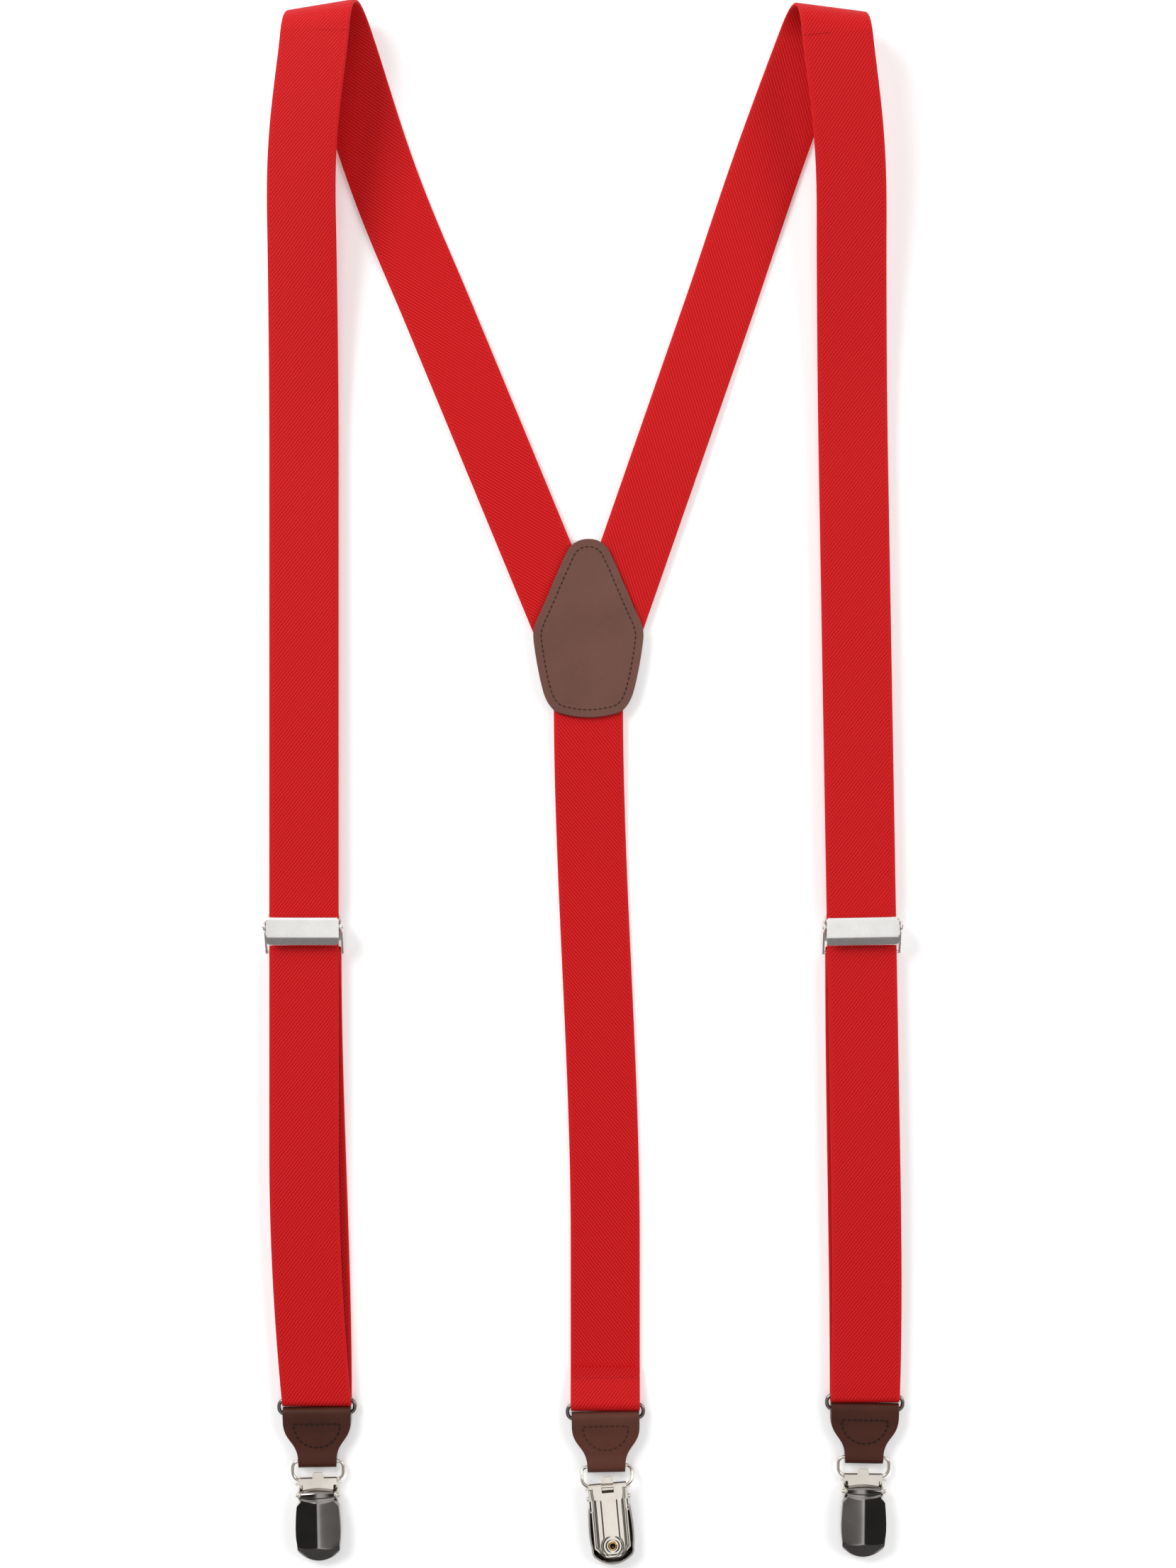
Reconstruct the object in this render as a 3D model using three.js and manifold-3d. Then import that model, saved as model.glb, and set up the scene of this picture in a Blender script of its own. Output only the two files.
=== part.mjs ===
// Suspenders with a Y-shaped back, laid out flat as they are worn: two front straps over two back
// branches, a leather patch where the branches meet one back strap, and a clip at each of the three ends.
// Millimetres. X points to the right of the layout, Y up towards the shoulders, Z out of the surface.
// The origin lies under the centre of the patch, on the surface that everything rests on.
import * as THREE from "three";
import { mergeVertices } from "three/addons/utils/BufferGeometryUtils.js";
import Module from "manifold-3d";

const wasm = await Module();
wasm.setup();

// Driving dimensions
const WEBBING_WIDTH = 25.4;
const WEBBING_THICKNESS = 1.2;
const LEATHER_THICKNESS = 1.3;
const SEAM_GAP = 0.3; // between two soft pieces that meet
const PATCH_LENGTH = 65.8;
const PATCH_WIDTH = 40.4;
const PATCH_WIDEST_Y = -2.6; // where the patch is widest
const RING_WIRE = 0.7; // radius of the strap ring's wire
const RING_SIDE_ROOM = 0.5; // between the webbing's edge and the ring's wire
const RING_HEIGHT = 6.5;
const RING_CORNER = 1.75; // of the wire's middle line
const FOLD_CLEARANCE = 0.35; // round a wire in a fold of webbing or leather
const FRONT_RUN_TOP_Y = -192; // where the running part of the front strap starts
const SEAT_Y = 60; // where the front strap has come down from the shoulder loop
const LOOP_RADIUS = 10.3; // of the shoulder loop, seen from its side
const TAB_LENGTH = 22.1;
const TAB_SHORTFALL = 0.3; // of the tab's top inside the webbing's edge, each side
const TAB_BOTTOM_WIDTH = 13.7;
const TAB_MIDDLE_THICKNESS = 2.9;
const LOOP_WIRE = 0.6; // radius of the clip loop's wire
const LOOP_WIDTH = 19.8;
const LOOP_FOOT_WIDTH = 15.4; // between the middles of the loop's lower corners
const LOOP_LENGTH = 7.3; // from the bar in the tab to the bar in the clip
const BORE_CLEARANCE = 0.3; // round a wire or pin in metal
const PLATE_THICKNESS = 0.8;
const PLATE_WIDTH = 13.3;
const PLATE_LIFT = 0.5; // of the back plate over the surface
const CLIP_LENGTH = 29.0; // from the clip's loop bar to the cover's tip
const CLIP_PIN_Y = -4.7;
const CLIP_PIN_Z = 4.3;
const CLIP_PIN_RADIUS = 0.75;
const CLIP_PIN_LENGTH = 16.6;
const COVER_WIDTH = 16.6;
const COVER_NECK_WIDTH = 12.2;
const COVER_THICKNESS = 0.8;
const COVER_EDGE_Z = 5.5;
const COVER_RIDGE_Z = 6.8;
const PAD_RADIUS = 3.5;
const PAD_Y = -21.5;
const EYELET_HOLE = 1.0;
const ADJUSTER_Y = -108.9;
const ADJUSTER_SIDE_ROOM = 0.9; // between the webbing's edge and the adjuster's ear
const ADJUSTER_PIN_RADIUS = 0.6;
const ADJUSTER_BAR_RADIUS = 0.6;
const ADJUSTER_BAR_Y = -9.6; // the frame's lower bar, from the pin's line
const ADJUSTER_PIN_RISE = 3.9; // over the front strap's upper face
const EAR_THICKNESS = 0.7;
const HEM_LENGTH = 13.5; // of the return run's sewn end
const BACK_HEM_LENGTH = 13.6;
const BRANCH_END_Y = -3; // the branches' cut ends inside the patch
const BRANCH_GAUGE_Y = 151; // where branchX is given
const ROLL_HALF = 7.0; // half the length of the rolled edge that holds the loop
const TONGUE_HALF = 1.9;
const STEM_HALF = 5.75; // of the jaw plate between its rolled edge and its full width
const PLATE_CHAMFER = 3.4;
const EYELET_FLANGE = 2.0; // radius
const EYELET_WALL = 0.45;

// What follows from the driving dimensions
const HALF_WEBBING = WEBBING_WIDTH / 2;
const RING_LENGTH = WEBBING_WIDTH + 2 * (RING_SIDE_ROOM + 2 * RING_WIRE);
const TAB_TOP_WIDTH = WEBBING_WIDTH - 2 * TAB_SHORTFALL;
const FLOOR_Z = WEBBING_THICKNESS / 2; // middle of a strap that lies on the surface
const FOLD_RADIUS = RING_WIRE + FOLD_CLEARANCE + WEBBING_THICKNESS / 2;
const RING_Z = RING_WIRE + FOLD_CLEARANCE + LEATHER_THICKNESS;
const RING_DROP = RING_HEIGHT - 2 * RING_WIRE; // from the ring's upper bar to its lower bar
const BAR_FOLD = ADJUSTER_BAR_RADIUS + FOLD_CLEARANCE + WEBBING_THICKNESS / 2;
const BAR_Z = FLOOR_Z + BAR_FOLD;
const FRONT_STRAP_Z = BAR_Z + BAR_FOLD + WEBBING_THICKNESS + SEAM_GAP; // middle of the running strap
const PATCH_STRAP_Z = LEATHER_THICKNESS + SEAM_GAP + WEBBING_THICKNESS / 2;

// Lays of the two front straps and the back strap. Side -1 is the left strap of the layout.
// ringX, ringY: middle of the ring's upper bar. shoulder: middle of the fold. turn: how far the fold's
// axis is turned. skew: between strap and fold normal. roll: how far the loop's top rises at its +X edge.
// lean: the running strap's drift in X per unit of Y.
const SIDES = {
  left: {
    sign: -1,
    shoulder: [-96.2, 225.5],
    turn: 6.4,
    skew: 11.8,
    roll: 3.4,
    strapX: -104,
    lean: 0,
    branchTopSlope: 18.2,
    branchSlope: 22.46,
    branchX: -69.5,
    ringX: -99.6,
    ringY: -282.6,
    returnX: -103.4,
    tilt: 0.8,
    loopTilt: 1.2,
    clipTilt: 1.2,
  },
  right: {
    sign: 1,
    shoulder: [87.1, 224.6],
    turn: -7.4,
    skew: 13.2,
    roll: 0,
    strapX: 99.9,
    lean: -0.0175,
    branchTopSlope: 20.6,
    branchSlope: 19.2,
    branchX: 59.4,
    ringX: 101.4,
    ringY: -281.2,
    returnX: 99.7,
    tilt: -1,
    loopTilt: -1.2,
    clipTilt: -0.6,
  },
};
const BACK = { ringX: 6.2, ringY: -284.4, tilt: 1.0, loopTilt: 3.0, clipTilt: 5.2 };

const rad = THREE.MathUtils.degToRad;
const smooth = (t) => THREE.MathUtils.smoothstep(t, 0, 1);
const mix = THREE.MathUtils.lerp;

// Materials, one function each
const finish = (color, roughness, metalness) =>
  new THREE.MeshStandardMaterial({ color, roughness, metalness });
const webbing = () => finish(0xc8141e, 0.85, 0);
const patchLeather = () => finish(0x78503f, 0.7, 0);
const tabLeather = () => finish(0x5a332a, 0.55, 0);
const ringSteel = () => finish(0x55504e, 0.25, 1);
const nickel = () => finish(0xc9c7c4, 0.2, 1);
const brushedNickel = () => finish(0xb4aca6, 0.35, 1);
const gunmetal = () => finish(0x2e2b2c, 0.22, 1);
const brass = () => finish(0xb08a4a, 0.35, 1);
const padPlastic = () => finish(0xe6e2d8, 0.5, 0);

// Solids from three.js geometry, joined and cut
function solid(geometry) {
  const bare = geometry.clone();
  bare.deleteAttribute("normal");
  bare.deleteAttribute("uv");
  const merged = mergeVertices(bare, 1e-4);
  const index = merged.index.array;
  return new wasm.Manifold(
    new wasm.Mesh({
      numProp: 3,
      vertProperties: new Float32Array(merged.attributes.position.array),
      triVerts: new Uint32Array(index),
    }),
  );
}

function geometryOf(made) {
  const mesh = made.getMesh();
  const geometry = new THREE.BufferGeometry();
  geometry.setAttribute("position", new THREE.BufferAttribute(mesh.vertProperties, 3));
  geometry.setIndex(new THREE.BufferAttribute(mesh.triVerts, 1));
  return geometry;
}

function named(name, geometry, material) {
  const mesh = new THREE.Mesh(geometry, material);
  mesh.name = name;
  return mesh;
}

// A box between two corners.
function block(low, high) {
  const size = high.map((value, axis) => value - low[axis]);
  const box = new THREE.BoxGeometry(...size);
  return box.translate(...high.map((value, axis) => (value + low[axis]) / 2));
}

// An outline in X and Y, raised from low to high.
function slab(shape, low, high, curveSegments = 6) {
  const raised = new THREE.ExtrudeGeometry(shape, { depth: high - low, bevelEnabled: false, curveSegments });
  return raised.translate(0, 0, low);
}

// A section drawn in Y and Z, run across from x0 to x1.
function across(shape, x0, x1, curveSegments = 8) {
  const run = new THREE.ExtrudeGeometry(shape, { depth: x1 - x0, bevelEnabled: false, curveSegments });
  const turned = new THREE.Matrix4().makeBasis(
    new THREE.Vector3(0, 1, 0),
    new THREE.Vector3(0, 0, 1),
    new THREE.Vector3(1, 0, 0),
  );
  return run.applyMatrix4(turned).translate(x0, 0, 0);
}

// A round bar along X.
function barX(radius, x0, x1, y, z, sides = 14) {
  const bar = new THREE.CylinderGeometry(radius, radius, x1 - x0, sides);
  return bar.rotateZ(Math.PI / 2).translate((x0 + x1) / 2, y, z);
}

// A round post along Z.
function post(radius, low, high, x, y, sides = 24) {
  const bar = new THREE.CylinderGeometry(radius, radius, high - low, sides);
  return bar.rotateX(Math.PI / 2).translate(x, y, (low + high) / 2);
}

function polygon(points) {
  return new THREE.Shape(points.map(([x, y]) => new THREE.Vector2(x, y)));
}

// Webbing: a strip whose middle surface is at(s, u), for s from first to last and u across the width.
function strip(at, stations, columns = [-HALF_WEBBING, 0, HALF_WEBBING], thickness = WEBBING_THICKNESS) {
  const step = 0.02;
  const positions = [];
  for (const s of stations) {
    for (const u of columns) {
      const along = at(s + step, u).sub(at(s - step, u));
      const sideways = at(s, u + step).sub(at(s, u - step));
      const normal = sideways.cross(along).normalize().multiplyScalar(thickness / 2);
      const middle = at(s, u);
      positions.push(...middle.clone().add(normal).toArray());
      positions.push(...middle.clone().sub(normal).toArray());
    }
  }
  const rows = stations.length;
  const wide = columns.length;
  const top = (row, column) => 2 * (row * wide + column);
  const under = (row, column) => top(row, column) + 1;
  const faces = [];
  const quad = (a, b, c, d) => faces.push(a, b, c, a, c, d);
  for (let row = 0; row < rows - 1; row++) {
    for (let column = 0; column < wide - 1; column++) {
      quad(top(row, column), top(row, column + 1), top(row + 1, column + 1), top(row + 1, column));
      quad(under(row, column), under(row + 1, column), under(row + 1, column + 1), under(row, column + 1));
    }
    quad(top(row, 0), top(row + 1, 0), under(row + 1, 0), under(row, 0));
    const last = wide - 1;
    quad(top(row, last), under(row, last), under(row + 1, last), top(row + 1, last));
  }
  for (let column = 0; column < wide - 1; column++) {
    quad(top(0, column), under(0, column), under(0, column + 1), top(0, column + 1));
    const end = rows - 1;
    quad(top(end, column), top(end, column + 1), under(end, column + 1), under(end, column));
  }
  const geometry = new THREE.BufferGeometry();
  geometry.setAttribute("position", new THREE.BufferAttribute(new Float32Array(positions), 3));
  geometry.setIndex(faces);
  return outward(geometry);
}

// The same closed geometry with its faces pointing out.
function outward(geometry) {
  const index = geometry.index.array;
  const p = geometry.attributes.position.array;
  const corner = (i) => new THREE.Vector3(p[3 * i], p[3 * i + 1], p[3 * i + 2]);
  let volume = 0;
  for (let i = 0; i < index.length; i += 3) {
    volume += corner(index[i]).dot(corner(index[i + 1]).cross(corner(index[i + 2])));
  }
  if (volume < 0) {
    const turned = Array.from(index);
    for (let i = 0; i < turned.length; i += 3) {
      [turned[i + 1], turned[i + 2]] = [turned[i + 2], turned[i + 1]];
    }
    geometry.setIndex(turned);
  }
  return geometry;
}

function spread(from, to, count) {
  return Array.from({ length: count + 1 }, (_, i) => mix(from, to, i / count));
}

// The shoulder loop: a strip wound round a cylinder whose axis lies across the fold. s is 0 at the outermost
// line, negative on the front strap's side and positive on the branch's side. Its top may roll to one side.
function loopPoint(side, s, u) {
  const turn = rad(side.turn);
  const axis = new THREE.Vector3(Math.cos(turn), Math.sin(turn), 0);
  const out = new THREE.Vector3(-Math.sin(turn), Math.cos(turn), 0);
  const skew = rad(side.skew) * -side.sign;
  const p = s * Math.sin(skew) + u * Math.cos(skew);
  const q = s * Math.cos(skew) - u * Math.sin(skew);
  const angle = THREE.MathUtils.clamp(q / LOOP_RADIUS, -Math.PI / 2, Math.PI / 2);
  const beyond = Math.max(Math.abs(q) - LOOP_QUARTER, 0);
  const reach = LOOP_RADIUS * (Math.cos(angle) - 1) - beyond;
  const raised = (1 - Math.sin(angle)) / 2;
  const height = FLOOR_Z + 2 * LOOP_RADIUS * raised + (side.roll * raised * u) / HALF_WEBBING;
  return new THREE.Vector3(side.shoulder[0], side.shoulder[1], height)
    .addScaledVector(axis, p)
    .addScaledVector(out, reach);
}

const LOOP_QUARTER = (Math.PI / 2) * LOOP_RADIUS;
const loopEnd = (side) => LOOP_QUARTER / Math.cos(rad(side.skew)) + 4;

// Plan line of the front strap: down from the loop, then straight, then drawn over to its ring.
function frontStrapX(side, y) {
  const run = side.strapX + side.lean * (y - ADJUSTER_Y);
  const drawn = THREE.MathUtils.clamp((FRONT_RUN_TOP_Y - y) / (FRONT_RUN_TOP_Y - side.ringY), 0, 1);
  return run + (side.ringX - run) * drawn ** 2;
}

// The front strap from the top of its loop down to where it starts to run.
const FRONT_TOP_S = -LOOP_QUARTER - 1;
function frontStrapPoint(side, s, u) {
  const near = loopPoint(side, s, u);
  const travelled = FRONT_TOP_S - s;
  const topY = loopPoint(side, FRONT_TOP_S, 0).y;
  const y = topY - travelled;
  const t = THREE.MathUtils.clamp((topY - y) / (topY - SEAT_Y), 0, 1);
  const peak = loopPoint(side, FRONT_TOP_S, u).z;
  near.z = mix(peak, FRONT_STRAP_Z, 0.5 - 0.5 * Math.cos(Math.PI * t ** 0.85));
  const far = new THREE.Vector3(frontStrapX(side, y) + u, y, near.z);
  return near.lerp(far, smooth(travelled / 75));
}

function shoulderLoop(side) {
  return strip((s, u) => loopPoint(side, s, u), spread(FRONT_TOP_S + SEAM_GAP, loopEnd(side), 18));
}

function frontStrap(side) {
  const topY = loopPoint(side, FRONT_TOP_S, 0).y;
  const at = (s, u) => frontStrapPoint(side, s, u);
  const seated = FRONT_TOP_S - (topY - SEAT_Y);
  const stations = [...spread(FRONT_TOP_S, seated, 16), FRONT_TOP_S - (topY - FRONT_RUN_TOP_Y)];
  return strip(at, stations);
}

// The branch from its loop to the patch, bending slightly in its own plane, then cut off level.
function branchPoint(side, s, u) {
  const start = loopPoint(side, loopEnd(side) + SEAM_GAP, 0);
  const slope = Math.tan(rad(side.branchSlope)) * side.sign;
  const y = start.y - s;
  const line = side.branchX + slope * (y - BRANCH_GAUGE_Y);
  const first = Math.tan(rad(side.branchTopSlope)) * side.sign;
  const near = start.x + first * (y - start.y);
  const settle = smooth(s / 95);
  const x = mix(near, line, settle);
  const height = mix(FLOOR_Z, PATCH_STRAP_Z, smooth((s - 60) / 100));
  const angle = Math.atan(mix(first, slope, settle));
  return new THREE.Vector3(x + u * Math.cos(angle), y - u * Math.sin(angle), height);
}

function branch(side) {
  const start = loopPoint(side, loopEnd(side) + SEAM_GAP, 0);
  const whole = solid(strip((s, u) => branchPoint(side, s, u), spread(0, start.y + 12, 26)));
  const inner = SEAM_GAP / 2;
  const low = [side.sign > 0 ? inner : -200, BRANCH_END_Y, -1];
  const high = [side.sign > 0 ? 200 : -inner, 240, 60];
  return geometryOf(whole.intersect(solid(block(low, high))));
}


// The running part: the front strap's lower end, round the ring's bar.
function runnerFold(side) {
  const arc = spread(0, Math.PI, 10).slice(0, 9);
  const down = [FRONT_RUN_TOP_Y - SEAM_GAP, -215, -240, -262, -275, side.ringY + 1.2];
  const frontZ = (y) => mix(FRONT_STRAP_Z, RING_Z + FOLD_RADIUS, smooth((FRONT_RUN_TOP_Y - y) / 80));
  const path = down.map((y) => [y, frontZ(y)]);
  for (const angle of arc) {
    path.push([side.ringY - FOLD_RADIUS * Math.sin(angle), RING_Z + FOLD_RADIUS * Math.cos(angle)]);
  }
  return pathStrip(path, (y) => frontStrapX(side, y));
}

// A strip along a path drawn in Y and Z, whose middle is at x(y, share of the path).
function pathStrip(path, x, width = WEBBING_WIDTH, thickness = WEBBING_THICKNESS) {
  const middle = (i) => path[THREE.MathUtils.clamp(Math.round(i), 0, path.length - 1)];
  const positions = [];
  path.forEach(([y, z], i) => {
    const before = middle(i - 1);
    const after = middle(i + 1);
    const along = new THREE.Vector2(after[0] - before[0], after[1] - before[1]).normalize();
    const centre = x(y, i / (path.length - 1));
    for (const [u, v] of [[-1, 1], [-1, -1], [1, -1], [1, 1]]) {
      const offset = (v * thickness) / 2;
      positions.push(centre + (u * width) / 2, y - along.y * offset, z + along.x * offset);
    }
  });
  const faces = [];
  const quad = (a, b, c, d) => faces.push(a, b, c, a, c, d);
  for (let i = 0; i < path.length - 1; i++) {
    for (let k = 0; k < 4; k++) {
      const next = (k + 1) % 4;
      quad(4 * i + k, 4 * i + next, 4 * i + 4 + next, 4 * i + 4 + k);
    }
  }
  const end = 4 * (path.length - 1);
  quad(3, 2, 1, 0);
  quad(end, end + 1, end + 2, end + 3);
  const geometry = new THREE.BufferGeometry();
  geometry.setAttribute("position", new THREE.BufferAttribute(new Float32Array(positions), 3));
  geometry.setIndex(faces);
  return outward(geometry);
}

// Adjuster, in its own frame: y from the pin's line, z from the surface.
const ADJUSTER_PIN_Z = FRONT_STRAP_Z + WEBBING_THICKNESS / 2 + ADJUSTER_PIN_RISE;
const EAR_INNER = HALF_WEBBING + ADJUSTER_SIDE_ROOM;
const ADJUSTER_COVER_WIDTH = 2 * (EAR_INNER - SEAM_GAP);
const EAR_OUTER = EAR_INNER + EAR_THICKNESS;
const BACKING_TOP = FRONT_STRAP_Z - WEBBING_THICKNESS / 2 - SEAM_GAP;

// The return run: from the ring back up to the adjuster's lower bar, round it, to its sewn end.
function returnRun(side) {
  const barY = ADJUSTER_Y + ADJUSTER_BAR_Y;
  const low = side.ringY + SEAM_GAP;
  const path = [low, -262, -220, -170, barY - 6].map((y) => [y, FLOOR_Z]);
  for (const angle of spread(0, Math.PI, 10)) {
    path.push([barY + BAR_FOLD * Math.sin(angle), BAR_Z - BAR_FOLD * Math.cos(angle)]);
  }
  const flapZ = BAR_Z + BAR_FOLD;
  const flapLow = FLOOR_Z + WEBBING_THICKNESS + SEAM_GAP / 2;
  path.push([barY - 3, flapZ], [barY - 8, mix(flapZ, flapLow, 0.75)], [barY - HEM_LENGTH, flapLow]);
  const ringX = side.ringX;
  const topX = side.returnX;
  const at = (y) => mix(topX, ringX, smooth(THREE.MathUtils.clamp((barY - y) / (barY - side.ringY), 0, 1)));
  return pathStrip(path, at);
}

function adjusterFrame() {
  const ear = new THREE.Shape();
  ear.moveTo(-ADJUSTER_BAR_RADIUS + ADJUSTER_BAR_Y, BAR_Z - ADJUSTER_BAR_RADIUS);
  ear.lineTo(ADJUSTER_BAR_Y + 2.2, BAR_Z - ADJUSTER_BAR_RADIUS);
  ear.lineTo(-5.2, BACKING_TOP - PLATE_THICKNESS);
  ear.lineTo(4.4, BACKING_TOP - PLATE_THICKNESS);
  ear.lineTo(4.4, BACKING_TOP + 2.2);
  ear.lineTo(1.7, ADJUSTER_PIN_Z);
  ear.absarc(0, ADJUSTER_PIN_Z, 1.6, 0, Math.PI, false);
  ear.lineTo(-2.4, BACKING_TOP + 3.0);
  ear.lineTo(-5.6, BACKING_TOP + 1.2);
  ear.lineTo(ADJUSTER_BAR_Y - ADJUSTER_BAR_RADIUS, BAR_Z + ADJUSTER_BAR_RADIUS);
  let frame = solid(block([-EAR_OUTER, -5.2, BACKING_TOP - PLATE_THICKNESS], [EAR_OUTER, 4.4, BACKING_TOP]));
  frame = frame.add(solid(across(ear, -EAR_OUTER, -EAR_INNER)));
  frame = frame.add(solid(across(ear, EAR_INNER, EAR_OUTER)));
  const barHalf = EAR_OUTER - 0.1;
  frame = frame.add(solid(barX(ADJUSTER_BAR_RADIUS, -barHalf, barHalf, ADJUSTER_BAR_Y, BAR_Z)));
  const hole = barX(ADJUSTER_PIN_RADIUS + BORE_CLEARANCE / 2, -20, 20, 0, ADJUSTER_PIN_Z);
  return geometryOf(frame.subtract(solid(hole)));
}

function adjusterCover() {
  const z = ADJUSTER_PIN_Z;
  const half = ADJUSTER_COVER_WIDTH / 2;
  const profile = new THREE.Shape();
  profile.moveTo(-1.5, z + 0.55);
  profile.lineTo(-1.5, z - 1.4);
  profile.lineTo(0.1, z - 3.5);
  profile.lineTo(0.6, z - 2.7);
  profile.lineTo(1.1, z - 3.4);
  profile.lineTo(1.6, z - 2.5);
  profile.lineTo(2.1, z - 3.1);
  profile.lineTo(3.5, z - 0.6);
  profile.quadraticCurveTo(3.7, z + 1.0, 2.2, z + 1.25);
  profile.lineTo(-3.6, z + 1.5);
  profile.quadraticCurveTo(-6.6, z + 1.3, -6.9, z - 1.9);
  profile.lineTo(-6.2, z - 1.9);
  profile.quadraticCurveTo(-6.0, z + 0.6, -3.6, z + 0.75);
  const whole = solid(across(profile, -half, half, 6));
  const hole = barX(ADJUSTER_PIN_RADIUS + BORE_CLEARANCE / 2, -half - 1, half + 1, 0, z);
  return geometryOf(whole.subtract(solid(hole)));
}

function adjusterPin() {
  const half = EAR_OUTER + 0.45;
  return barX(ADJUSTER_PIN_RADIUS, -half, half, 0, ADJUSTER_PIN_Z);
}

// Round wire bent along a closed outline in X and Y, with no seam, each bend in cornerSteps steps.
function wireLoop(outline, radius, sides = 8, cornerSteps = 8) {
  const points = outline.getPoints(cornerSteps).slice(0, -1);
  const steps = points.length;
  const positions = [];
  points.forEach((point, i) => {
    const before = points[(i + steps - 1) % steps];
    const after = points[(i + 1) % steps];
    const along = after.clone().sub(before).normalize();
    for (let k = 0; k < sides; k++) {
      const angle = (2 * Math.PI * (k + 0.5)) / sides;
      const out = radius * Math.cos(angle);
      positions.push(point.x + along.y * out, point.y - along.x * out, radius * Math.sin(angle));
    }
  });
  const faces = [];
  for (let i = 0; i < steps; i++) {
    for (let k = 0; k < sides; k++) {
      const here = i * sides;
      const there = ((i + 1) % steps) * sides;
      const next = (k + 1) % sides;
      faces.push(here + k, here + next, there + next, here + k, there + next, there + k);
    }
  }
  const geometry = new THREE.BufferGeometry();
  geometry.setAttribute("position", new THREE.BufferAttribute(new Float32Array(positions), 3));
  geometry.setIndex(faces);
  return outward(geometry);
}

// A closed round-cornered loop in X and Y through the given corners, each with its corner radius.
function roundedLoop(corners) {
  const shape = new THREE.Path();
  const count = corners.length;
  const at = (i) => new THREE.Vector2(corners[(i + count) % count][0], corners[(i + count) % count][1]);
  corners.forEach(([, , radius], i) => {
    const corner = at(i);
    const before = at(i - 1).sub(corner);
    const after = at(i + 1).sub(corner);
    const start = corner.clone().add(before.setLength(radius));
    const end = corner.clone().add(after.setLength(radius));
    if (i === 0) shape.moveTo(start.x, start.y);
    else shape.lineTo(start.x, start.y);
    shape.quadraticCurveTo(corner.x, corner.y, end.x, end.y);
  });
  shape.closePath();
  return shape;
}

// Ring: an oval of round wire, level, with its upper bar at y 0.
function ring() {
  const half = RING_LENGTH / 2 - RING_WIRE;
  const corner = RING_CORNER;
  const outline = roundedLoop([
    [half, 0, corner],
    [half, -RING_DROP, corner],
    [-half, -RING_DROP, corner],
    [-half, 0, corner],
  ]);
  return wireLoop(outline, RING_WIRE).translate(0, 0, RING_Z);
}

// Leather tab: a folded strip with a wire in each fold, sewn together between them.
function tabOutline() {
  const top = TAB_TOP_WIDTH / 2;
  const bottom = TAB_BOTTOM_WIDTH / 2;
  const shape = new THREE.Shape();
  shape.moveTo(-top, 3);
  shape.lineTo(-top, -2.6);
  shape.bezierCurveTo(-top, -9.5, -bottom - 1.2, -11.5, -bottom - 0.2, -TAB_LENGTH + 4);
  shape.lineTo(-bottom, -TAB_LENGTH - 2);
  shape.lineTo(bottom, -TAB_LENGTH - 2);
  shape.lineTo(bottom + 0.2, -TAB_LENGTH + 4);
  shape.bezierCurveTo(bottom + 1.2, -11.5, top, -9.5, top, -2.6);
  shape.lineTo(top, 3);
  return shape;
}

const TAB_FOLD = RING_WIRE + FOLD_CLEARANCE + LEATHER_THICKNESS;
const TAB_LOOP_FOLD = LOOP_WIRE + FOLD_CLEARANCE + LEATHER_THICKNESS;
const TAB_LOOP_Y = -(TAB_LENGTH - TAB_FOLD - TAB_LOOP_FOLD); // from the ring's lower bar

function tab() {
  const half = TAB_MIDDLE_THICKNESS / 2;
  const z = RING_Z;
  const foot = TAB_LOOP_Y;
  const footHalf = TAB_LOOP_FOLD;
  const profile = new THREE.Shape();
  profile.absarc(0, z, TAB_FOLD, -Math.PI / 2, Math.PI / 2, false);
  profile.bezierCurveTo(-3, z + TAB_FOLD, -4, z + half, -7, z + half);
  profile.lineTo(foot + 5, z + half);
  profile.bezierCurveTo(foot + 3, z + half, foot + 2, z + footHalf, foot, z + footHalf);
  profile.absarc(foot, z, footHalf, Math.PI / 2, (3 * Math.PI) / 2, false);
  profile.bezierCurveTo(foot + 2, z - footHalf, foot + 3, z - half, foot + 5, z - half);
  profile.lineTo(-7, z - half);
  profile.bezierCurveTo(-4, z - half, -3, z - TAB_FOLD, 0, z - TAB_FOLD);
  const wide = TAB_TOP_WIDTH / 2 + 1;
  let body = solid(across(profile, -wide, wide, 7));
  body = body.intersect(solid(slab(tabOutline(), -5, 12, 8).translate(0, TAB_FOLD - 0.1, 0)));
  body = body.subtract(solid(barX(RING_WIRE + FOLD_CLEARANCE, -wide - 1, wide + 1, 0, z)));
  body = body.subtract(solid(barX(LOOP_WIRE + FOLD_CLEARANCE, -wide - 1, wide + 1, TAB_LOOP_Y, z)));
  return geometryOf(body);
}

// Clip loop: a wire from the tab's lower fold to the clip, in its own frame: bar in the tab at y 0. It runs
// down by drop over its length.
const loopRun = (drop) => Math.sqrt(LOOP_LENGTH ** 2 - drop ** 2);
function clipLoop(drop) {
  const top = LOOP_WIDTH / 2 - LOOP_WIRE;
  const foot = LOOP_FOOT_WIDTH / 2 + LOOP_WIRE;
  const outline = roundedLoop([
    [top, 0, 2.2],
    [foot, -LOOP_LENGTH, 1.2],
    [-foot, -LOOP_LENGTH, 1.2],
    [-top, 0, 2.2],
  ]);
  return wireLoop(outline, LOOP_WIRE).rotateX(Math.asin(drop / LOOP_LENGTH));
}

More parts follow.
